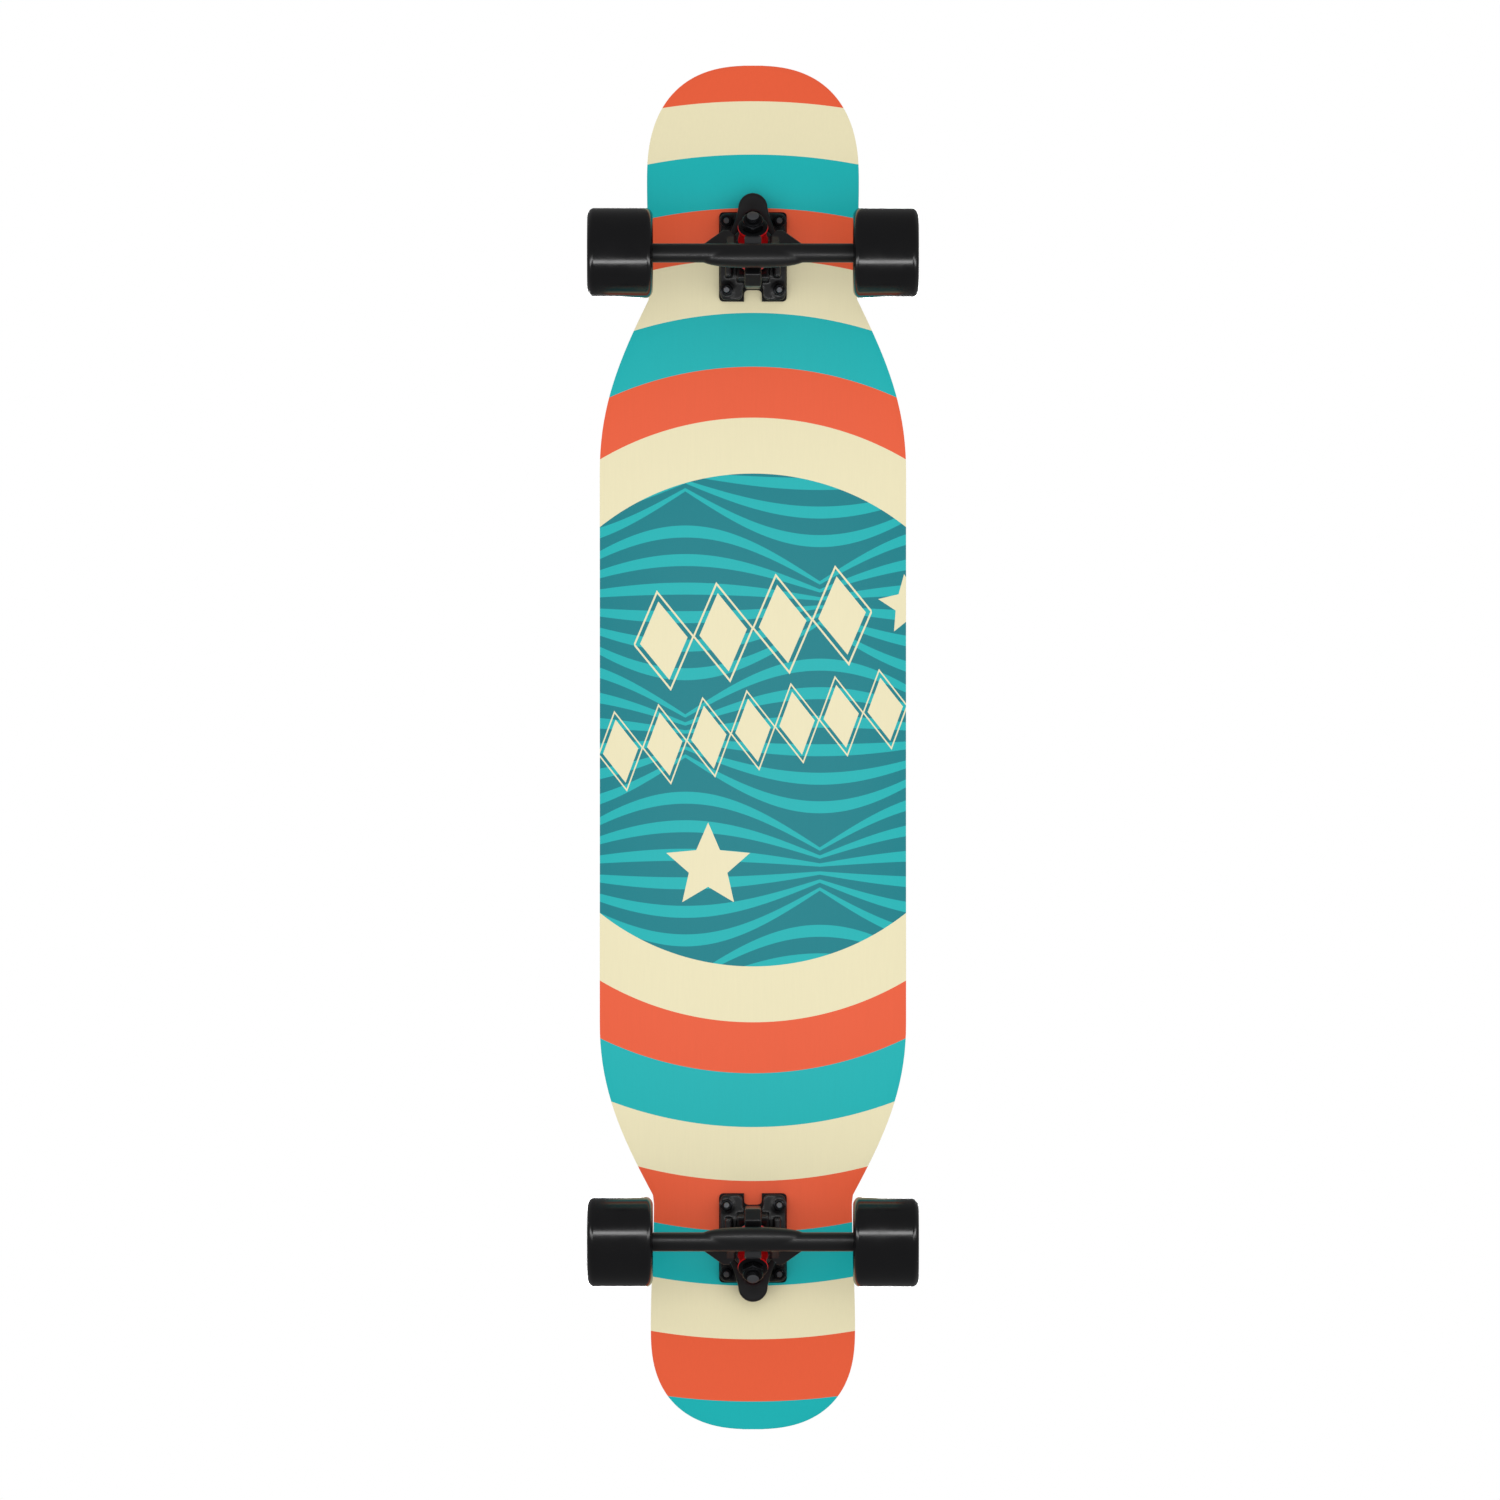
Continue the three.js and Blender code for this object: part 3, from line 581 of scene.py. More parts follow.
        return add_node(tree, "Math", [distance, edge], operation="LESS_THAN")


INKS = Print("screen_printed_lacquered_maple", "#EDE4BD", 0.42, specular=0.2, grain_mm=1.4, relief_mm=0.03)


# ---------------------------------------------------------------- modelling
def deselect() -> None:
    """Leaves edit mode and selects nothing."""
    if bpy.context.object and bpy.context.object.mode != "OBJECT":
        bpy.ops.object.mode_set(mode="OBJECT")
    bpy.ops.object.select_all(action="DESELECT")


def pick(piece: Piece) -> None:
    """Makes piece the only selected object, and the active one.

    Args:
        piece: The object to select.
    """
    deselect()
    piece.select_set(True)
    bpy.context.view_layer.objects.active = piece


@contextmanager
def editing(piece: Piece) -> Iterator[None]:
    """Edits piece with all of it selected, and leaves edit mode after that.

    Args:
        piece: The object to edit.
    """
    pick(piece)
    bpy.ops.object.mode_set(mode="EDIT")
    bpy.ops.mesh.select_all(action="SELECT")
    yield
    bpy.ops.object.mode_set(mode="OBJECT")


def apply(piece: Piece, kind: str, **settings) -> Piece:
    """Adds a modifier and applies it.

    Args:
        piece: The object that gets it.
        kind: The modifier's type.
        **settings: Its settings.

    Returns:
        The piece.
    """
    pick(piece)
    modifier = piece.modifiers.new(kind.title(), kind)
    for key, value in settings.items():
        setattr(modifier, key, value)
    bpy.ops.object.modifier_apply(modifier=modifier.name)
    return piece


def soften(piece: Piece, width_mm: float, segments: int = 2, angle: float = 35) -> Piece:
    """Rounds a piece's sharp edges.

    Args:
        piece: The object to soften.
        width_mm: How far each rounding reaches along its sides.
        segments: Steps on each rounding.
        angle: Edges sharper than this many degrees are rounded.

    Returns:
        The piece.
    """
    return apply(
        piece, "BEVEL", width=width_mm * MM, segments=segments, limit_method="ANGLE",
        angle_limit=math.radians(angle), use_clamp_overlap=True,
    )


def smooth(piece: Piece, angle: float = 35) -> Piece:
    """Shades a piece smooth, apart from its sharp edges.

    Args:
        piece: The object to shade.
        angle: Edges sharper than this many degrees stay crisp.

    Returns:
        The piece.
    """
    pick(piece)
    bpy.ops.object.shade_smooth_by_angle(angle=math.radians(angle))
    return piece


def outward(piece: Piece, merge_mm: float = 0.002) -> Piece:
    """Merges doubled corners, drops flat faces and loose edges, and points the faces outwards.

    Args:
        piece: The object to clean.
        merge_mm: Corners closer than this become one.

    Returns:
        The piece.
    """
    with editing(piece):
        bpy.ops.mesh.remove_doubles(threshold=merge_mm * MM)
        bpy.ops.mesh.dissolve_degenerate(threshold=1e-7)
        bpy.ops.mesh.normals_make_consistent(inside=False)
        bpy.ops.mesh.delete_loose(use_verts=True, use_edges=True, use_faces=False)
    return piece


def rounded(points: Outline, radius: float, steps: int = 3) -> Outline:
    """Rounds an outline's corners, apart from those on the axis.

    Args:
        points: The closed outline, in millimetres.
        radius: How far each rounding reaches along its sides.
        steps: Points on each rounding, less one.

    Returns:
        The outline with its corners rounded.
    """
    made: Outline = []
    for i, corner in enumerate(points):
        here, before, after = (Vector(p) for p in (corner, points[i - 1], points[(i + 1) % len(points)]))
        reach = min(radius, 0.45 * (before - here).length, 0.45 * (after - here).length)
        if abs(here.x) < 1e-6 or reach < 1e-3:
            made.append(tuple(here))
            continue
        start = here + (before - here).normalized() * reach
        end = here + (after - here).normalized() * reach
        for k in range(steps + 1):
            t = k / steps
            made.append(tuple(start * (1 - t) ** 2 + here * 2 * t * (1 - t) + end * t**2))
    return made


def flat_outline(name: str, places: Sequence[Vector], filled: bool) -> Piece:
    """Starts a piece from a circle whose corners are moved.

    Args:
        name: The piece's name.
        places: Where its corners go, in metres.
        filled: Whether it gets a face.

    Returns:
        The flat piece.
    """
    deselect()
    bpy.ops.mesh.primitive_circle_add(vertices=len(places), fill_type="NGON" if filled else "NOTHING")
    piece = bpy.context.object
    piece.name = piece.data.name = name
    for vertex, place in zip(piece.data.vertices, places):
        vertex.co = place
    return piece


def lathe(name: str, profile: Outline, segments: int = 64) -> Piece:
    """Turns a closed profile about Z.

    Args:
        name: The piece's name.
        profile: Points of (radius, place along the axis), in millimetres.
        segments: Steps round the axis.

    Returns:
        The turned piece.
    """
    places = [Vector((r, 0, h)) * MM for r, h in profile]
    piece = flat_outline(name, places, filled=False)
    with editing(piece):
        bpy.ops.mesh.spin(steps=segments, angle=math.tau, center=(0, 0, 0), axis=(0, 0, 1))
    return smooth(outward(piece))


def extruded(name: str, outline: Outline, low: float, high: float) -> Piece:
    """Gives a flat outline height.

    Args:
        name: The piece's name.
        outline: Points of (x, y), in millimetres.
        low: The z it starts from.
        high: The z it reaches.

    Returns:
        The solid piece.
    """
    piece = flat_outline(name, [Vector((x, y, low)) * MM for x, y in outline], filled=True)
    with editing(piece):
        bpy.ops.mesh.extrude_region_move(TRANSFORM_OT_translate={"value": (0, 0, (high - low) * MM)})
    return outward(piece)


def from_side(name: str, outline: Outline, low: float, high: float) -> Piece:
    """Gives a side outline thickness.

    Args:
        name: The piece's name.
        outline: Points of (y, z), in millimetres.
        low: The x it starts from.
        high: The x it reaches.

    Returns:
        The solid piece.
    """
    piece = extruded(name, outline, low, high)
    piece.data.transform(Matrix(((0, 0, 1, 0), (1, 0, 0, 0), (0, 1, 0, 0), (0, 0, 0, 1))))
    return piece


def placed(piece: Piece, *turns: Matrix) -> Piece:
    """Moves a piece's mesh and leaves its object at the origin.

    Args:
        piece: The object whose mesh moves.
        *turns: Matrices, of which the last acts first.

    Returns:
        The piece.
    """
    whole = Matrix.Identity(4)
    for turn in turns:
        whole = whole @ turn
    piece.data.transform(whole)
    return piece


def copied(piece: Piece, name: str, *turns: Matrix) -> Piece:
    """Copies a piece, with its own mesh.

    Args:
        piece: The object to copy.
        name: The copy's name.
        *turns: Matrices that place the copy, of which the last acts first.

    Returns:
        The copy.
    """
    copy = piece.copy()
    copy.data = piece.data.copy()
    copy.name = copy.data.name = name
    bpy.context.scene.collection.objects.link(copy)
    return placed(copy, *turns)


def joined(name: str, pieces: Sequence[Piece]) -> Piece:
    """Joins pieces into the first of them.

    Args:
        name: The whole's name.
        pieces: The objects to join.

    Returns:
        The whole.
    """
    deselect()
    for piece in pieces:
        piece.select_set(True)
    bpy.context.view_layer.objects.active = pieces[0]
    bpy.ops.object.join()
    pieces[0].name = pieces[0].data.name = name
    return pieces[0]


def cut(piece: Piece, cutter: Piece, how: str = "DIFFERENCE") -> Piece:
    """Combines a piece with a cutter, and removes the cutter.

    Args:
        piece: The object that is kept.
        cutter: The object that acts on it.
        how: Whether the cutter is taken out, added, or only what they share is kept.

    Returns:
        The piece.
    """
    apply(piece, "BOOLEAN", object=cutter, operation=how, solver="MANIFOLD")
    bpy.data.objects.remove(cutter)
    return piece


def cast(name: str, pieces: Sequence[Piece]) -> Piece:
    """Fuses overlapping shapes into one casting with soft, filleted meeting lines.

    Args:
        name: The casting's name.
        pieces: The shapes.

    Returns:
        The casting.
    """
    whole = joined(name, pieces)
    apply(whole, "REMESH", mode="VOXEL", voxel_size=CAST_GRAIN_MM * MM, adaptivity=0.0)
    return apply(whole, "SMOOTH", factor=0.5, iterations=CAST_SMOOTHING)


def dress(piece: Piece, *finishes: Finish) -> Piece:
    """Gives a piece its materials.

    Args:
        piece: The object to dress.
        *finishes: Its finishes, in the order of its material slots.

    Returns:
        The piece.
    """
    piece.data.materials.clear()
    for finish in finishes:
        piece.data.materials.append(finish.material())
    return piece


def dress_where(piece: Piece, index: int, test: Callable[[bpy.types.MeshPolygon], bool]) -> None:
    """Gives some of a piece's faces another of its materials.

    Args:
        piece: The object.
        index: The material's slot.
        test: Says whether a face gets it.
    """
    for face in piece.data.polygons:
        if test(face):
            face.material_index = index


def thread(radius: float, low: float, high: float, pitch: float = 1.25) -> Outline:
    """The side of a threaded length, as ring grooves at a real pitch.

    Args:
        radius: The thread's outer radius, in millimetres.
        low: Where it starts along the axis.
        high: Where it ends.
        pitch: The distance from groove to groove.

    Returns:
        Points of (radius, place along the axis).
    """
    run_out, crest, root = 0.1, 0.06, 0.55
    count = max(int((high - low) / pitch), 1)
    step = (high - low) / count
    side: Outline = [(radius - run_out, low)]
    for i in range(count):
        side.append((radius - crest * step, low + (i + 0.3) * step))
        side.append((radius - root * step, low + (i + 0.75) * step))
    return side + [(radius - run_out, high)]


def hex_nut(name: str, flats: float, low: float, high: float, bore: float, collar: float) -> Piece:
    """A chamfered hexagonal lock nut with a round nylon collar at its high end.

    Args:
        name: The piece's name.
        flats: Width over its flats.
        low: Where its flat face is, along Z.
        high: Where its collar ends.
        bore: Radius of its hole.
        collar: How much of its height is collar.

    Returns:
        The nut, with two materials' faces: 0 steel and 1 nylon.
    """
    corner = flats / math.sqrt(3)
    shoulder = high - collar
    deselect()
    bpy.ops.mesh.primitive_cylinder_add(
        vertices=6, radius=corner * MM, depth=(shoulder - low) * MM,
        location=(0, 0, (low + shoulder) / 2 * MM),
    )
    nut = bpy.context.object
    nut.data.transform(nut.matrix_world)
    nut.matrix_world = Matrix.Identity(4)
    chamfer = (corner - flats / 2) * 1.3
    slope = chamfer * 0.55
    envelope = [(0, low), (corner - chamfer, low), (corner, low + slope)]
    envelope += [(corner, shoulder - slope), (corner - chamfer, shoulder), (0, shoulder)]
    cut(nut, lathe(name + "_envelope", envelope, 48), "INTERSECT")
    soften(nut, 0.15, 1)
    hole = lathe(name + "_bore", [(0, low - 1), (bore, low - 1), (bore, high + 1), (0, high + 1)], 32)
    cut(nut, hole)
    smooth(nut, 25)
    outer, sunk = flats / 2 * 0.97, shoulder - 0.3
    wall = [(bore, sunk), (outer, sunk), (outer, high - 0.5), (outer - 0.9, high), (bore, high)]
    ring = lathe(name + "_collar", rounded(wall, 0.35), 48)
    insert = bore + 0.28 * (outer - bore) + 0.9
    steel_faces = len(nut.data.polygons)
    nut = joined(name, [nut, ring])

    def is_nylon(face: bpy.types.MeshPolygon) -> bool:
        """Whether a face is on the insert that shows inside the collar's end."""
        across = math.hypot(face.center.x, face.center.y) / MM
        return face.index >= steel_faces and across < insert and face.normal.z > 0.3

    dress_where(nut, 1, is_nylon)
    return nut


KINGPIN_TURN = Matrix.Rotation(math.radians(-135), 4, "X")
STEERING_TURN = Matrix.Rotation(math.radians(-45), 4, "X")
AXLE_TURN = Matrix.Rotation(math.radians(90), 4, "Y")


class Slot(Enum):
    """The record's material slots."""

    MAPLE = "maple"
    GRIT = "grit"
    CASTING = "black_casting"
    BLACK_STEEL = "black_steel"
    STEEL = "steel"
    BUSHING = "red_urethane"
    TYRE = "black_urethane"
    NYLON = "nylon"
    BEARING = "bearing"


@dataclass
class Frame:
    """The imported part: which body each CAD node rides on, and the places that pieces are built from."""

    loaded: dict
    bodies: dict[str, str] = field(default_factory=dict)

    def __post_init__(self) -> None:
        """Notes each node's body."""
        groups = self.loaded["record"]["behaviour"]["bodies"]
        self.bodies = {node: body for body, nodes in groups.items() for node in nodes}

    def show(self, piece: Piece, node: str) -> None:
        """Lets a piece stand for a CAD node, on that node's body.

        Args:
            piece: The finished piece.
            node: The CAD node.
        """
        piece.name = piece.data.name = node + "_look"
        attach(piece, self.bodies[node])
        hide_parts(node)
        LOG.info("%s: %d faces", piece.name, len(piece.data.polygons))

    def keep(self, node: str, finish: Finish) -> None:
        """Shows a CAD node as it is.

        Args:
            node: The CAD node.
            finish: What it is made of.
        """
        mesh = self.loaded["nodes"][node].data
        mesh.materials.clear()
        mesh.materials.append(finish.material())
        LOG.info("%s: kept", node)


# ---------------------------------------------------------------- deck
@dataclass
class DeckShape:
    """The deck's plan and its rise, in millimetres, from the boxes of the CAD deck and axles.

    nose and tail hold the half-width at the widest, the half-width at the neck, and the rounded tip's length.
    waist_from, waist_to and kick_from are measured along the deck from the trucks.
    """

    half_length: float
    mid_half_width: float
    low: float
    truck_y: float
    thickness: float = 11.0
    camber: float = 8.0
    concave: float = 6.0
    flat: float = 0.36
    kick_rise: float = 28.0
    nose: tuple[float, float, float] = (83.0, 81.0, 92.0)
    tail: tuple[float, float, float] = (80.0, 77.5, 79.0)
    waist_from: float = 170.0
    waist_to: float = 33.0
    kick_from: float = 45.0
    tip_half_width: float = 8.0
    waist_power: float = 1.1
    kick_power: float = 1.3
    tip_power: float = 2.5
    strips: int = 24
    rows: int = 190
    row_power: float = 1.12

    def half_width(self, y: float) -> float:
        """Half the deck's width at a place along it.

        Args:
            y: The place, toward the nose.

        Returns:
            The half-width.
        """
        widest, neck, tip = self.nose if y > 0 else self.tail
        out, start, end = abs(y), self.truck_y - self.waist_from, self.truck_y - self.waist_to
        shoulder = self.half_length - tip
        if out <= end:
            u = min(max((out - start) / (end - start), 0), 1)
            return neck + (self.mid_half_width - neck) * math.cos(math.pi / 2 * u**self.waist_power)
        if out <= shoulder:
            u = (out - end) / (shoulder - end)
            return neck + (widest - neck) * u * u * (3 - 2 * u)
        t = min((out - shoulder) / (self.half_length - shoulder), 1)
        return max(widest * (1 - t**self.tip_power) ** (1 / self.tip_power), self.tip_half_width)

    def lift(self, y: float, across: float) -> float:
        """How far the deck stands above its flat part over the trucks.

        Args:
            y: The place along the deck, toward the nose.
            across: The place across it, from -1 at one edge to 1 at the other.

        Returns:
            The rise.
        """
        out, end, start = abs(y), self.truck_y - self.waist_to, self.truck_y + self.kick_from
        bow = (1 + math.cos(math.pi * out / end)) / 2 if out < end else 0
        kick = max(out - start, 0) / (self.half_length - start)
        edge = max(abs(across) - self.flat, 0) / (1 - self.flat)
        dish = self.concave * self.half_width(y) / self.mid_half_width
        return self.camber * bow + self.kick_rise * kick**self.kick_power + dish * edge**2

    def sheet(self, name: str, low: float, high: float, inset: float) -> Piece:
        """A sheet that follows the deck between two heights, pulled in from its edge.

        Args:
            name: The piece's name.
            low: Its underside's height over the trucks.
            high: Its upper side's height there.
            inset: How far its edge is pulled in.

        Returns:
            The sheet.
        """
        deselect()
        bpy.ops.mesh.primitive_grid_add(x_subdivisions=self.strips, y_subdivisions=self.rows, size=2)
        piece = bpy.context.object
        piece.name = piece.data.name = name
        for vertex in piece.data.vertices:
            across, share = vertex.co.x, vertex.co.y
            eased = math.sin(math.pi / 2 * abs(share) ** self.row_power)
            y = math.copysign(self.half_length * eased, share)
            x = across * (self.half_width(y) - inset)
            pulled = y * (1 - inset / self.half_length)
            vertex.co = Vector((x, pulled, low + self.lift(y, across))) * MM
        with editing(piece):
            bpy.ops.mesh.extrude_region_move(TRANSFORM_OT_translate={"value": (0, 0, (high - low) * MM)})
        return outward(piece)


@dataclass
class Deck:
    """The pressed maple deck with its print, and the grip tape on it.

    Faces that look down more than printed says carry the print, and the others show the plies.
    """

    shape: DeckShape
    bolts: list[Vector]
    grip_low: float
    grip_high: float
    edge_radius: float = 2.6
    bolt_hole: float = 2.75
    sink: float = 5.3
    sink_depth: float = 2.9
    tape_inset: float = 1.2
    printed: float = -0.45

    def drill(self, piece: Piece, top: float) -> None:
        """Drills the eight countersunk bolt holes.

        Args:
            piece: The deck or the grip tape.
            top: The height of the grip tape's surface.
        """
        low, high, hole, sink = self.shape.low - 2, top + 2, self.bolt_hole, self.sink
        profile = [(0, low), (hole, low), (hole, top - self.sink_depth), (sink, top - 0.15)]
        profile += [(sink, high), (0, high)]
        first = lathe("drill", profile, 32)
        drills = [copied(first, "drill", Matrix.Translation(Vector((b.x, b.y, 0)) * MM)) for b in self.bolts]
        bpy.data.objects.remove(first)
        cut(piece, joined("drills", drills))

    def build(self, frame: Frame) -> None:
        """Makes the deck and the grip tape.

        Args:
            frame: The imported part.
        """
        s = self.shape
        deck = s.sheet("deck_blank", s.low, s.low + s.thickness, 0)
        soften(deck, self.edge_radius, 3, 60)
        self.drill(deck, self.grip_high)
        depth = deck.data.attributes.new("ply_depth", "FLOAT", "POINT")
        for vertex, value in zip(deck.data.vertices, depth.data):
            x, y, z = vertex.co / MM
            across = max(-1.0, min(1.0, x / s.half_width(y)))
            value.value = (z - s.low - s.lift(y, across)) / s.thickness
        dress(deck, PLIES, INKS)
        dress_where(deck, 1, lambda face: face.normal.z < self.printed)
        smooth(deck, 40)
        frame.show(deck, "deck")
        tape = s.sheet("tape_blank", self.grip_low, self.grip_high, self.tape_inset)
        soften(tape, 0.25, 2, 60)
        self.drill(tape, self.grip_high)
        smooth(dress(tape, GRIT), 40)
        frame.show(tape, "grip_tape")


# ---------------------------------------------------------------- deck hardware
@dataclass
class DeckHardware:
    """The eight countersunk bolts through the deck and the lock nuts under the baseplates."""

    shank: float = 2.4
    head: float = 5.0
    head_depth: float = 2.6
    key: float = 1.9
    key_depth: float = 2.1
    threaded: float = 14.0
    pitch: float = 0.8
    flats: float = 9.5
    collar: float = 1.5
    nut_turn_deg: float = 17.0

    def bolt(self, low: float, high: float) -> Piece:
        """A countersunk bolt with a hexagonal key recess and a threaded end.

        Args:
            low: The height of its end.
            high: The height of its head's face.

        Returns:
            The bolt, about Z.
        """
        lead, plain, neck = low + 0.5, low + self.threaded, high - self.head_depth
        threads = thread(self.shank, lead, plain, self.pitch)
        side: Outline = [(self.shank - 0.5, low), *threads, (self.shank, plain + 0.2), (self.shank, neck)]
        head = [(self.head, high - 0.3), (self.head, high), (0, high)]
        bolt = lathe("deck_bolt", [(0, low), *side, *head], 40)
        deselect()
        bpy.ops.mesh.primitive_cylinder_add(
            vertices=6, radius=self.key * MM, depth=2 * self.key_depth * MM, location=(0, 0, high * MM),
        )
        smooth(soften(cut(bolt, bpy.context.object), 0.1, 1, 60), 30)
        dress(bolt, BLACK_OXIDE, DULL_STEEL)
        dress_where(bolt, 1, lambda face: face.center.z < (lead + 0.02) * MM)
        return bolt

    def build(self, frame: Frame) -> None:
        """Makes one bolt and one nut and copies them to the eight places.

        Args:
            frame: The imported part.
        """
        low, high = (corner.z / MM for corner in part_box("deck_bolt_front_inner_left"))
        nut_low, nut_high = (corner.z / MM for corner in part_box("deck_nut_front_inner_left"))
        bolt = self.bolt(low, high)
        nut = hex_nut("deck_nut", self.flats, 0, nut_high - nut_low, self.shank + 0.1, self.collar)
        dress(nut, BLACK_OXIDE, NYLON_INSERT)
        over = Matrix.Translation((0, 0, nut_high * MM)) @ Matrix.Rotation(math.pi, 4, "X")
        for node in sorted(frame.bodies):
            if node.startswith(("deck_bolt_", "deck_nut_")):
                middle = sum(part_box(node), Vector()) / 2
                place = Matrix.Translation((middle.x, middle.y, 0))
                if "bolt" in node:
                    frame.show(copied(bolt, node, place), node)
                else:
                    angle = math.radians(self.nut_turn_deg) * (1 if middle.x > 0 else 2.4)
                    turn = Matrix.Rotation(angle, 4, "Z")
                    frame.show(copied(nut, node, place, turn, over), node)
        bpy.data.objects.remove(bolt)
        bpy.data.objects.remove(nut)


# ---------------------------------------------------------------- trucks
@dataclass
class Truck:
    """One sprung truck, in millimetres: y outboard and z up from its axle, x across the board.

    Places named from, to, root and tip are measured from the hanger ring's centre, along the kingpin
    (down positive) or along the steering axis (outboard positive).
    """

    ring_y: float = 8.0
    ring_z: float = 37.0
    plate_low: float = 62.0
    plate_top: float = 68.0
    plate_half: float = 25.5
    plate_inboard: float = -35.0
    plate_outboard: float = 33.0
    notch_half: float = 8.0
    notch_depth: float = 12.0
    bolt_x: float = 20.65
    bolt_y: float = 27.0
    bolt_hole: float = 2.75
    bolt_boss: float = 5.9
    arch_half: float = 21.5
    arch_back: float = -17.0
    arch_start: float = 9.0
    arch_power: float = 1.3
    arch_depth: float = 14.0
    arch_wall: float = 5.0
    dome_half: float = 11.5
    dome_end: float = 48.5
    dome_wall: float = 8.0
    dome_depth: float = 6.5
    seat_half: float = 12.4
    boss: float = 6.5
    boss_root: float = -29.0
    boss_tip: float = -41.0
    cup_radius: float = 5.1
    cup_root: float = -28.0
    cup_tip: float = -38.6
    kingpin: float = 4.75
    kingpin_head: float = 8.0
    kingpin_tip: float = 31.0
    washer_from: float = 18.3
    nut_from: float = 20.2
    nut_height: float = 7.0
    nut_flats: float = 16.0
    bushing: float = 12.0
    bushing_from: float = 4.3
    bushing_waist: float = 1.4
    hanger_half: float = 90.0
    tube: float = 7.5
    belly_half: float = 41.0
    belly_depth: float = 9.2
    belly_shift: float = -2.5
    ring_half: float = 4.0
    yoke_inner: float = 14.0
    yoke_outer: float = 20.5
    cheek_half: float = 3.6
    gusset_reach: float = 42.0
    gusset_half: float = 2.5
    rib_half: float = 5.0
    front_rib_half: float = 6.6
    swing_mouth: float = 20.4
    nose_root: float = -28.0
    axle_radius: float = 4.0
    axle_collar: float = 5.6
    bearing_width: float = 7.0
    pieces: dict[str, Piece] = field(default_factory=dict)

    def slanted(self, along: float, down: float) -> tuple[float, float]:
        """A place from the ring's centre.

        Args:
            along: How far along the steering axis, outboard positive.
            down: How far along the kingpin, down positive.

        Returns:
            The place, as (y, z).
        """
        part = math.cos(SLANT)
        return self.ring_y + part * (along + down), self.ring_z + part * (along - down)

    def ring(self) -> Matrix:
        """The place of the hanger ring's centre."""
        return Matrix.Translation(Vector((0, self.ring_y, self.ring_z)) * MM)

    def on_kingpin(self, piece: Piece) -> Piece:
        """Lays a piece made about Z along the kingpin."""
        return placed(piece, self.ring(), KINGPIN_TURN)

    def on_steering(self, piece: Piece) -> Piece:
        """Lays a piece made about Z along the steering axis."""
        return placed(piece, self.ring(), STEERING_TURN)

    def rod(self, radius: float, low: float, high: float, segments: int = 48) -> Piece:
        """A plain rod about Z, for fusing or cutting."""
        return lathe("rod", [(0, low), (radius, low), (radius, high), (0, high)], segments)

    def at_bolts(self, name: str, piece: Piece) -> list[Piece]:
        """Copies a piece to the plate's four bolts, and removes the first.

        Args:
            name: The copies' name.
            piece: The piece, about Z.

        Returns:
            The copies.
        """
        places = [(x, y) for x in (-self.bolt_x, self.bolt_x) for y in (-self.bolt_y, self.bolt_y)]
        copies = [copied(piece, name, Matrix.Translation(Vector((x, y, 0)) * MM)) for x, y in places]
        bpy.data.objects.remove(piece)
        return copies

    def plate_plan(self) -> Outline:
        """The plate's plan, with the notch between its inboard legs.

        Returns:
            Points of (x, y).
        """
        half, notch = self.plate_half, self.notch_half
        inboard, outboard = self.plate_inboard, self.plate_outboard
        plan = [(half, inboard), (half, outboard), (-half, outboard), (-half, inboard), (-notch, inboard)]
        end = inboard + self.notch_depth
        return rounded(plan + [(-notch, end), (notch, end), (notch, inboard)], 5.0, 5)

    def arch_plan(self, wall: float = 0.0) -> Outline:
        """The arched rib's plan: sides that draw in to a round nose.

        Args:
            wall: How far its sides are pulled in, for the hollow inside it.

        Returns:
            Points of (x, y).
        """
        half, nose = self.arch_half - wall, self.dome_half - wall
        start, end, depth = self.arch_start, self.dome_end - self.dome_half, self.dome_half
        if wall:
            end, depth = end - self.dome_wall, depth - self.dome_depth
        shares = [i / 12 for i in range(13)]
        side = [
            (nose + (half - nose) * (1 - u) ** self.arch_power, start + (end - start) * u) for u in shares
        ]
        turns = [math.pi * u for u in shares[1:-1]]
        tip = [(nose * math.cos(turn), end + depth * math.sin(turn)) for turn in turns]
        back = [(-half, self.arch_back), (half, self.arch_back)]
        return back + side + tip + [(-x, y) for x, y in reversed(side)]

    def baseplate(self) -> Piece:
        """The cast baseplate: plate, arched rib with its dome, bushing seat and pivot spine.

        Returns:
            The baseplate.
        """
        low, top = self.plate_low, self.plate_low + 1
        plate = soften(extruded("plate", self.plate_plan(), low, self.plate_top), 1.0, 2, 50)
        cap = extruded("cap", self.arch_plan(), low - 0.5, self.plate_top)
        arch = extruded("arch", self.arch_plan(), low - self.arch_depth, top)
        inner = extruded("inner", self.arch_plan(self.arch_wall), low - 20, low + 5)
        arch = soften(cut(arch, inner), 1.2, 2, 50)
        half, boss = self.seat_half, self.boss
        low_seat, high_seat = (self.slanted(end, -self.nut_from) for end in (-half, half))
        wedge = from_side("seat", [high_seat, (4, top), (-21, top), (-19, 42), low_seat], -half, half)
        spine_line = [low_seat, self.slanted(self.boss_root, -boss), self.slanted(self.boss_root, boss)]
        spine_line += [self.slanted(self.boss_tip, boss), self.slanted(self.boss_tip, -boss)]
        spine = from_side("spine", spine_line + [(-26.5, top), (-12, top)], -boss, boss)
        fused = [plate, cap, arch, soften(wedge, 1.0), soften(spine, 1.2)]
        fused += self.at_bolts("bolt_boss", self.rod(self.bolt_boss, low - 0.9, top))
        body = cast("baseplate", fused)
        hole = self.rod(self.bolt_hole, low - 4, self.plate_top + 1, 24)
        for sunk in (
            self.on_steering(self.rod(self.cup_radius, self.cup_tip, self.cup_root)),
            self.on_kingpin(self.rod(self.kingpin + 0.3, -FAR, 0)),
            self.on_kingpin(self.rod(self.kingpin_head + 0.3, -FAR, -30)),
            *self.at_bolts("bolt_hole", hole),
        ):
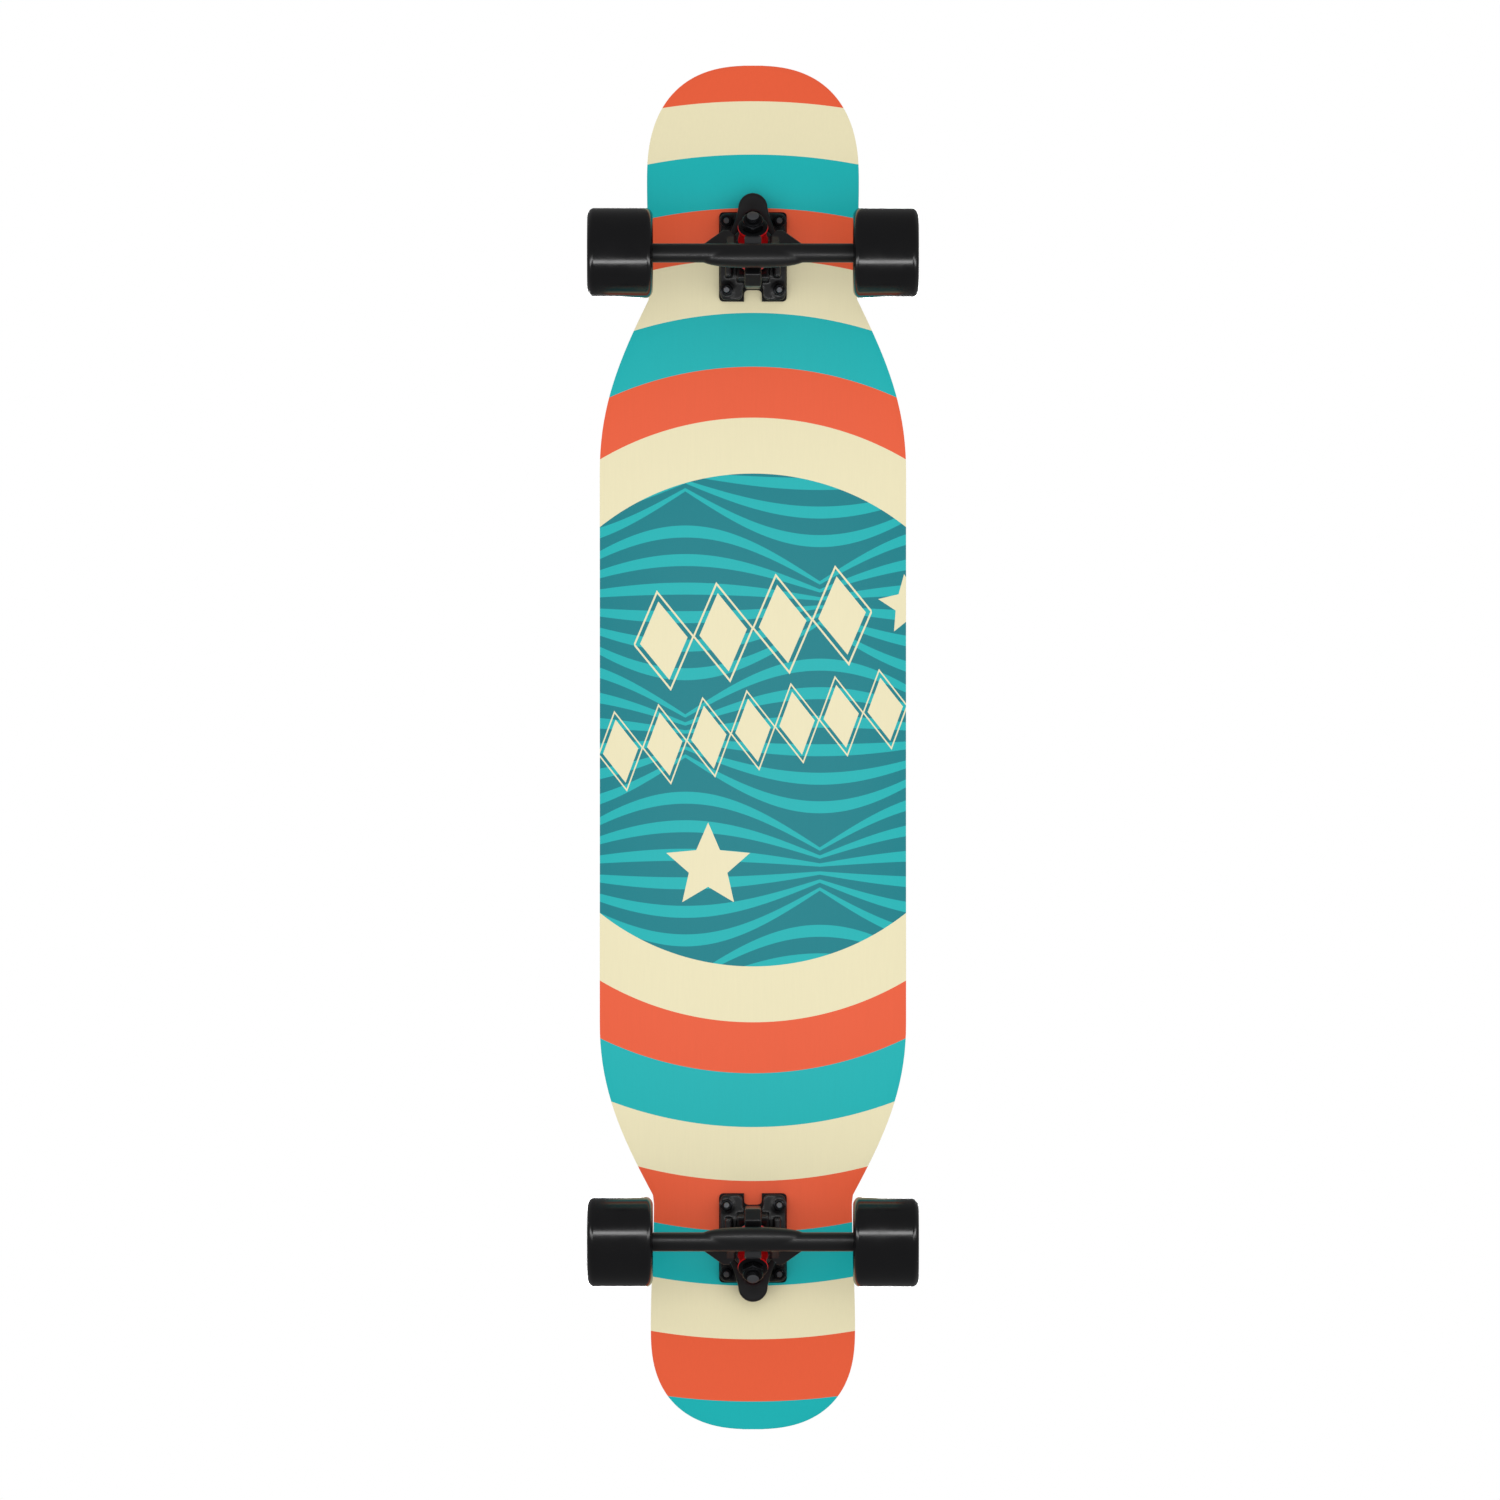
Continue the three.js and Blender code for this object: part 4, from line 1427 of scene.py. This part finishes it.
            cut(body, sunk)
        return smooth(body, 50)

    def hanger(self) -> Piece:
        """The cast hanger: axle tube, belly, gusseted yoke with its ring, centre rib and pivot nose.

        Returns:
            The hanger.
        """
        bar = soften(placed(self.rod(self.tube, -self.hanger_half, self.hanger_half), AXLE_TURN), 0.8)
        turns = [math.pi * (i / 24 - 0.5) for i in range(1, 24)]
        long = self.belly_half
        bulge = [(self.belly_depth * max(math.cos(a), 0) ** 0.6, long * math.sin(a)) for a in turns]
        belly = lathe("belly", [(0, -long), *bulge, (0, long)])
        placed(belly, Matrix.Translation((0, self.belly_shift * MM, 0)), AXLE_TURN)
        rib_line = [(-4.5, 2), (4.5, 2), (6, 14), self.slanted(-10.5, 3), self.slanted(-10.5, -3)]
        rib_line += [self.slanted(-25, -2.5), self.slanted(-26, 3.5)]
        fused = [bar, belly, from_side("rib", rib_line, -self.rib_half, self.rib_half)]
        thick, inner = self.cheek_half, self.yoke_inner
        cheek = [(-6.5, 0), (-6.5, 20), self.slanted(-11, -thick), self.slanted(3, -thick)]
        cheek += [self.slanted(6, thick), (17.5, 17), (6, -3)]
        for side in (-1, 1):
            low = inner if side > 0 else -self.yoke_outer
            fused.append(soften(from_side("cheek", cheek, low, low + self.yoke_outer - inner), 0.8))
            reach = self.gusset_reach
            gusset = [(inner, 0), (reach, 0), (reach, 5), (self.yoke_outer + 3, 24), (inner, 24)]
            web = extruded("gusset", [(side * x, y) for x, y in gusset], -self.gusset_half, self.gusset_half)
            fused.append(soften(placed(web, Matrix.Rotation(SLANT, 4, "X")), 0.8))
        high = self.ring_half
        fused.append(self.on_kingpin(soften(self.rod(self.bushing + 4, -high, high), 1.0)))
        body = cast("hanger", fused)
        mouth = self.swing_mouth
        swing = [(0, high), (self.bushing + 1.8, high), (mouth, self.nut_from), (mouth, FAR), (0, FAR)]
        for room in (
            self.on_kingpin(self.rod(2 * self.kingpin, -2 * high, 2 * high)),
            self.on_kingpin(lathe("swing", swing)),
            self.on_kingpin(self.rod(self.bushing + 1, -FAR, -high)),
            self.on_steering(self.rod(self.boss * 1.55, -FAR, self.nose_root - 0.2)),
            placed(self.rod(self.axle_radius + 0.3, -self.hanger_half - 1, self.hanger_half + 1), AXLE_TURN),
        ):
            cut(body, room)
        nose = [(0, -37), (2.1, -36.4), (3.1, -35.4), (3.5, -34), (3.5, self.nose_root)]
        nose += [(5.5, -13.5), (0, -10.5)]
        cut(body, self.on_steering(lathe("nose", nose, 40)), "UNION")
        front_line = [(3, 8), (7, 1), (12, 5.5), (14, 12.2), (6, 20), (3, 20.5)]
        front_rib = from_side("front_rib", front_line, -self.front_rib_half, self.front_rib_half)
        cut(body, soften(front_rib, 1.2, 3), "UNION")
        return smooth(body, 50)

    def turned_parts(self) -> None:
        """The kingpin with its nut, the cup washers and the bushings."""
        radius, head, tip = self.kingpin, self.kingpin_head, self.kingpin_tip
        pin = [(0, -34), (head, -34), (head, -30.3), (radius, -30.3), (radius, 16.5)]
        pin += [*thread(radius, 17, tip - 0.6), (radius - 1.1, tip), (0, tip)]
        self.pieces["kingpin"] = dress(self.on_kingpin(lathe("kingpin", pin, 56)), BLACK_OXIDE, DULL_STEEL)
        end = self.ring() @ KINGPIN_TURN @ Vector((0, 0, (tip - 0.7) * MM))
        way = (KINGPIN_TURN @ Vector((0, 0, 1))).normalized()
        dress_where(self.pieces["kingpin"], 1, lambda face: (face.center - end).dot(way) > 0)
        nut_to = self.nut_from + self.nut_height
        nut = hex_nut("kingpin_nut", self.nut_flats, self.nut_from, nut_to, radius + 0.15, 1.8)
        self.pieces["kingpin_nut"] = dress(self.on_kingpin(nut), BLACK_OXIDE, NYLON_INSERT)
        bore, rim = radius + 0.45, self.bushing
        root, top = self.bushing_from, self.washer_from - 0.3
        for name, way in (("roadside", 1), ("boardside", -1)):
            barrel: Outline = [(bore, root), (rim, root)]
            for i in range(1, 12):
                u = i / 12
                waist = self.bushing_waist * math.sin(math.pi * u) ** 0.8
                barrel.append((rim - waist, root + (top - root) * u))
            barrel += [(rim, top), (bore, top)]
            turned = lathe("bushing", [(r, way * h) for r, h in rounded(barrel, 0.9)], 72)
            self.pieces["bushing_" + name] = dress(self.on_kingpin(turned), RED_URETHANE)
            low, high, edge = self.washer_from, self.washer_from + 1.6, self.bushing - 0.4
            dish = [(bore, low + 0.5), (edge - 3, low + 0.5), (edge - 1.4, low), (edge, low + 0.1)]
            dish += [(edge, low + 0.8), (edge - 2.4, high), (bore, high)]
            washer = lathe("washer", [(r, way * h) for r, h in rounded(dish, 0.3)], 64)
            self.pieces["cup_washer_" + name] = dress(self.on_kingpin(washer), BLACK_OXIDE)

    def axle(self) -> Piece:
        """The axle with its speed rings, spacers and threaded ends.

        Returns:
            The axle.
        """
        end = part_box("front_axle")[1].x / MM
        collar, radius, wide, gap = self.axle_collar, self.axle_radius, self.bearing_width, 0.3
        inner, outer = self.hanger_half + 1.3, self.hanger_half + 18.7
        half: Outline = []
        for low, high in ((self.hanger_half, inner), (inner + wide, outer)):
            half += [(radius, low + gap), (collar, low + gap), (collar, high - gap), (radius, high - gap)]
        half += [(radius, outer + wide), *thread(radius, outer + wide + 0.2, end - 0.7), (radius - 0.9, end)]
        whole = [(0, -end), *[(r, -x) for r, x in reversed(half)], *half, (0, end)]
        return dress(placed(lathe("axle", whole, 48), AXLE_TURN), ZINC)

    def build(self, frame: Frame, axle_z: float, truck_y: float) -> None:
        """Makes one truck's pieces and sets them at both ends.

        Args:
            frame: Where the pieces are shown.
            axle_z: The axles' height.
            truck_y: How far the axles are from the middle.
        """
        self.turned_parts()
        self.pieces["baseplate"] = dress(self.baseplate(), POWDER_COAT)
        self.pieces["hanger"] = dress(self.hanger(), POWDER_COAT)
        self.pieces["axle"] = self.axle()
        slots = dict.fromkeys(("baseplate", "hanger"), Slot.CASTING)
        slots |= dict.fromkeys(("bushing_roadside", "bushing_boardside"), Slot.BUSHING)
        slots["axle"] = Slot.STEEL
        for end, sign in (("front", 1), ("rear", -1)):
            turn = Matrix.Rotation(0 if sign > 0 else math.pi, 4, "Z")
            place = Matrix.Translation(Vector((0, sign * truck_y, axle_z)) * MM) @ turn
            for name, piece in self.pieces.items():
                node = f"{end}_{name}"
                frame.show(copied(piece, node, place), node)
            frame.keep(end + "_riser_pad", PAD_RUBBER)
            frame.keep(end + "_pivot_cup", PAD_RUBBER)
        for piece in self.pieces.values():
            bpy.data.objects.remove(piece)


# ---------------------------------------------------------------- wheels
@dataclass
class Wheel:
    """One wheel, in millimetres, made about Z with its outboard face up, from its own middle."""

    radius: float = 35.0
    half_width: float = 25.5
    crest: float = 29.5
    shoulder: float = 5.0
    core: float = 16.0
    core_half: float = 12.7
    seat: float = 11.3
    hub_x: float = 103.5
    race_inner: float = 4.3
    race_outer: float = 11.0
    bearing_width: float = 7.0
    bearing_starts: tuple[float, float] = (-12.2, 5.2)
    bearing_stop: float = 4.9
    pockets: int = 12
    pocket_radius: float = 1.25
    pocket_ring: float = 13.7
    nut_start: float = 12.5
    nut_flats: float = 12.7
    nut_height: float = 6.0
    nut_bore: float = 4.15

    def tyre(self) -> Piece:
        """The cast urethane tyre, with soft shoulders and dished faces.

        Returns:
            The tyre.
        """
        edge, bore = self.half_width, self.core + 0.3
        side: Outline = []
        for i in range(9):
            a = math.pi / 2 * i / 8
            r = self.crest + (self.radius - self.crest) * math.sin(a)
            side.append((r, edge - self.shoulder * (1 - math.cos(a)) ** 0.8))
        lip = [(bore, self.core_half), (self.crest - 5.5, edge - 3.2), (self.crest - 2, edge - 1.4)]
        half = [*lip, *side]
        flat = [(self.radius, h) for h in (6.0, -6.0)]
        whole = half + flat + [(r, -h) for r, h in reversed(half)]
        return dress(lathe("tyre", whole, 144), BLACK_URETHANE)

    def hub(self) -> Piece:
        """The nylon core, stepped for the bearings, with a ring of pockets in each face.

        Returns:
            The core.
        """
        seat, core, high, stop = self.seat, self.core, self.core_half, self.bearing_stop
        step = seat - 1.7
        profile = [(seat, -high), (core, -high), (core, high), (seat, high)]
        profile += [(seat, stop), (step, stop), (step, -stop), (seat, -stop)]
        made = lathe("core", rounded(profile, 0.5), 72)
        pockets = []
        for i in range(self.pockets):
            turn = Matrix.Rotation(math.tau * i / self.pockets, 4, "Z")
            for face in (-1, 1):
                deselect()
                bpy.ops.mesh.primitive_cylinder_add(
                    vertices=12,
                    radius=self.pocket_radius * MM,
                    depth=5 * MM,
                    location=(self.pocket_ring * MM, 0, face * high * MM),
                )
                pocket = bpy.context.object
                pocket.data.transform(turn @ pocket.matrix_world)
                pocket.matrix_world = Matrix.Identity(4)
                pockets.append(pocket)
        return dress(smooth(cut(made, joined("pockets", pockets)), 30), NYLON)

    def bearing(self) -> Piece:
        """A sealed bearing: two ground races and red seals set a little in.

        Returns:
            The bearing, with its inboard face at z = 0.
        """
        seal_from, seal_to, sunk = 6.25, 9.3, 0.45
        half = [(self.race_inner, 0), (seal_from - 0.15, 0), (seal_from, sunk), (seal_to, sunk)]
        half += [(seal_to + 0.15, 0), (self.race_outer, 0)]
        whole = half + [(r, self.bearing_width - h) for r, h in reversed(half)]
        made = dress(lathe("bearing", rounded(whole, 0.15, 2), 72), RACE_STEEL, RED_SEAL)

        def on_seal(face: bpy.types.MeshPolygon) -> bool:
            """Whether a face is on a seal."""
            from_axis = math.hypot(face.center.x, face.center.y) / MM
            return seal_from + 0.05 < from_axis < seal_to - 0.05 and abs(face.normal.z) > 0.8

        dress_where(made, 1, on_seal)
        return made

    def nut(self) -> Piece:
        """The outer speed ring with the axle's lock nut.

        Returns:
            The nut and its ring, with the ring's inboard face at z = 0.
        """
        bore, edge, thick = self.nut_bore, 6.4, 0.85
        seat = thick - 0.05
        nut = hex_nut("axle_nut", self.nut_flats, seat, seat + self.nut_height, bore, 1.6)
        ring = lathe("speed_ring", rounded([(bore, 0), (edge, 0), (edge, thick), (bore, thick)], 0.2), 48)
        return dress(joined("axle_nut", [nut, ring]), ZINC, NYLON_INSERT)

    def build(self, frame: Frame, axle_z: float, truck_y: float) -> None:
        """Makes one wheel's pieces and sets them at the four corners.

        Args:
            frame: Where the pieces are shown.
            axle_z: The axles' height.
            truck_y: How far the axles are from the middle.
        """
        bearing = self.bearing()
        made = {
            "tyre": (self.tyre(), self.hub_x, Slot.TYRE),
            "wheel_core": (self.hub(), self.hub_x, Slot.NYLON),
            "bearing_inner": (bearing, self.hub_x + self.bearing_starts[0], Slot.BEARING),
            "bearing_outer": (bearing, self.hub_x + self.bearing_starts[1], Slot.BEARING),
            "axle_nut": (self.nut(), self.hub_x + self.nut_start, Slot.STEEL),
        }
        for end, way in (("front", 1), ("rear", -1)):
            for side, turned in (("right", 0), ("left", math.pi)):
                place = Matrix.Translation(Vector((0, way * truck_y, axle_z)) * MM)
                place = place @ Matrix.Rotation(turned, 4, "Z")
                for name, (piece, along, slot) in made.items():
                    node = f"{end}_{side}_{name}"
                    out = Matrix.Translation((along * MM, 0, 0)) @ AXLE_TURN
                    frame.show(copied(piece, node, place, out), node)
        for piece in {entry[0].name: entry[0] for entry in made.values()}.values():
            bpy.data.objects.remove(piece)


# ---------------------------------------------------------------- studio
@dataclass
class Studio:
    """A white surround, soft lamps, a pale floor and the long lens that looks up at the board's underside."""

    centre: Vector
    floor_z: float = 0.0
    floor_size: float = 60.0
    lens: float = 400.0
    sensor: float = 36.0
    view_width: float = 1.1715
    aim: tuple[float, float] = (0.0023, -0.002)
    seen: float = 1.0
    lit: float = 0.7
    mirrored: float = 0.16

    def camera(self) -> None:
        """Puts the camera under the board, with the nose at the top of its view."""
        made = bpy.data.cameras.new("camera")
        made.lens, made.sensor_width = self.lens, self.sensor
        distance = self.view_width * self.lens / self.sensor
        made.clip_end = 100
        camera = bpy.data.objects.new("camera", made)
        camera.location = (self.aim[0], self.aim[1], self.centre.z - distance)
        camera.rotation_euler = Matrix(((-1, 0, 0), (0, 1, 0), (0, 0, -1))).to_euler()
        bpy.context.scene.collection.objects.link(camera)
        bpy.context.scene.camera = camera

    def surround(self) -> None:
        """White to the camera, softer light grey to the object and its reflections."""
        scene = bpy.context.scene
        scene.view_settings.view_transform = "Standard"
        world = bpy.data.worlds.new("studio")
        scene.world = world
        world.use_nodes = True
        tree = world.node_tree
        tree.nodes.clear()
        path = add_node(tree, "LightPath")
        seen, lit, mirrored = (
            add_node(tree, "Background", {"Color": (1, 1, 1, 1), "Strength": strength})
            for strength in (self.seen, self.lit, self.mirrored)
        )
        shine = add_node(tree, "MixShader", [path.outputs["Is Glossy Ray"], lit, mirrored])
        both = add_node(tree, "MixShader", [path.outputs["Is Camera Ray"], shine, seen])
        add_node(tree, "OutputWorld", [both])

    def lamp(
        self, name: str, place: Sequence[float], size: Sequence[float], watts: float, target: Vector,
        lights: tuple[str, ...] = ("diffuse", "glossy"),
    ) -> None:
        """Adds a soft rectangular lamp that isn't seen itself.

        Args:
            name: The lamp's name.
            place: Where it stands, in metres.
            size: Its width and height.
            watts: Its power.
            target: What it points at.
            lights: Whether it lights surfaces, shows in their gloss, or both.
        """
        made = bpy.data.lights.new(name, "AREA")
        made.shape, made.size, made.size_y, made.energy = "RECTANGLE", size[0], size[1], watts
        lamp = bpy.data.objects.new(name, made)
        lamp.location = place
        lamp.rotation_euler = (target - Vector(place)).to_track_quat("-Z", "Y").to_euler()
        lamp.visible_camera = False
        lamp.visible_diffuse = "diffuse" in lights
        lamp.visible_glossy = "glossy" in lights
        bpy.context.scene.collection.objects.link(lamp)

    def lamps(self) -> None:
        """A broad lamp and a narrow strip below, and two lamps above."""
        middle = self.centre
        self.lamp("under_fill", (0, 0, -3.4), (3.4, 3.4), 52, middle, ("diffuse",))
        self.lamp("under_strip", (0, 0, middle.z - 0.9), (0.7, 0.12), 2.4, middle, ("glossy",))
        for side, name in ((-1, "side_strip_left"), (1, "side_strip_right")):
            place = (side * 1.1, 0, middle.z - 0.75)
            self.lamp(name, place, (0.22, 1.5), 5, middle, ("glossy",))
        self.lamp("key", (0.25, -0.35, 3.2), (1.6, 1.6), 60, middle)
        self.lamp("rim", (-0.3, 0.35, 3.0), (1.2, 1.2), 30, middle)

    def floor(self) -> None:
        """A pale floor that is clear from below, so that the view from under it sees the board."""
        deselect()
        bpy.ops.mesh.primitive_plane_add(size=self.floor_size, location=(0, 0, self.floor_z))
        floor = bpy.context.object
        floor.name = "studio_floor"
        with editing(floor):
            bpy.ops.mesh.subdivide(number_cuts=4)
        made = bpy.data.materials.new("painted_studio_floor")
        made.use_nodes = True
        tree = made.node_tree
        paint = tree.nodes["Principled BSDF"]
        paint.inputs["Roughness"].default_value = 0.7
        place = add_node(tree, "TexCoord").outputs["Object"]
        cloud = add_node(tree, "TexNoise", {"Vector": place, "Scale": per_metre(700)})
        tone = add_node(tree, "ValToRGB", {"Fac": cloud})
        tone.color_ramp.elements[0].color = linear("#E4E4E3")
        tone.color_ramp.elements[1].color = linear("#EFEFEE")
        tree.links.new(tone.outputs[0], paint.inputs["Base Color"])
        back = add_node(tree, "NewGeometry").outputs["Backfacing"]
        clear = add_node(tree, "BsdfTransparent")
        both = add_node(tree, "MixShader", [back, paint, clear])
        tree.links.new(both.outputs[0], tree.nodes["Material Output"].inputs["Surface"])
        floor.data.materials.append(made)
        floor.visible_shadow = floor.visible_diffuse = floor.visible_glossy = False
        floor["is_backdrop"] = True

    def build(self) -> None:
        """Sets up the surround, the lamps, the floor and the camera."""
        self.surround()
        self.lamps()
        self.floor()
        self.camera()


# ---------------------------------------------------------------- the whole
def bounds_list() -> list[list[float]]:
    """The shown object's box.

    Returns:
        Its lowest and highest corner, as plain numbers.
    """
    low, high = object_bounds()
    return [list(low), list(high)]


def main() -> None:
    """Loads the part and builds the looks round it."""
    logging.basicConfig(level=logging.INFO, format="%(name)s: %(message)s")
    frame = Frame(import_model())
    cad_box = bounds_list()
    low, high = (Vector(corner) for corner in cad_box)
    Studio((low + high) / 2).build()
    axle_low, axle_high = (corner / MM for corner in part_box("front_axle"))
    truck_y = (axle_low.y + axle_high.y) / 2
    deck_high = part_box("deck")[1] / MM
    pad_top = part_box("front_riser_pad")[1].z / MM
    bolts = [
        sum(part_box(node), Vector()) / 2 / MM for node in frame.bodies if node.startswith("deck_bolt_")
    ]
    bolt_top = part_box("deck_bolt_front_inner_left")[1].z / MM
    shape = DeckShape(deck_high.y, deck_high.x, pad_top + 0.3, truck_y)
    Deck(shape, bolts, bolt_top - 0.85, bolt_top + 0.15).build(frame)
    DeckHardware().build(frame)
    axle_z = (axle_low.z + axle_high.z) / 2
    Truck().build(frame, axle_z, truck_y)
    Wheel().build(frame, axle_z, truck_y)


if __name__ == "__main__":
    main()
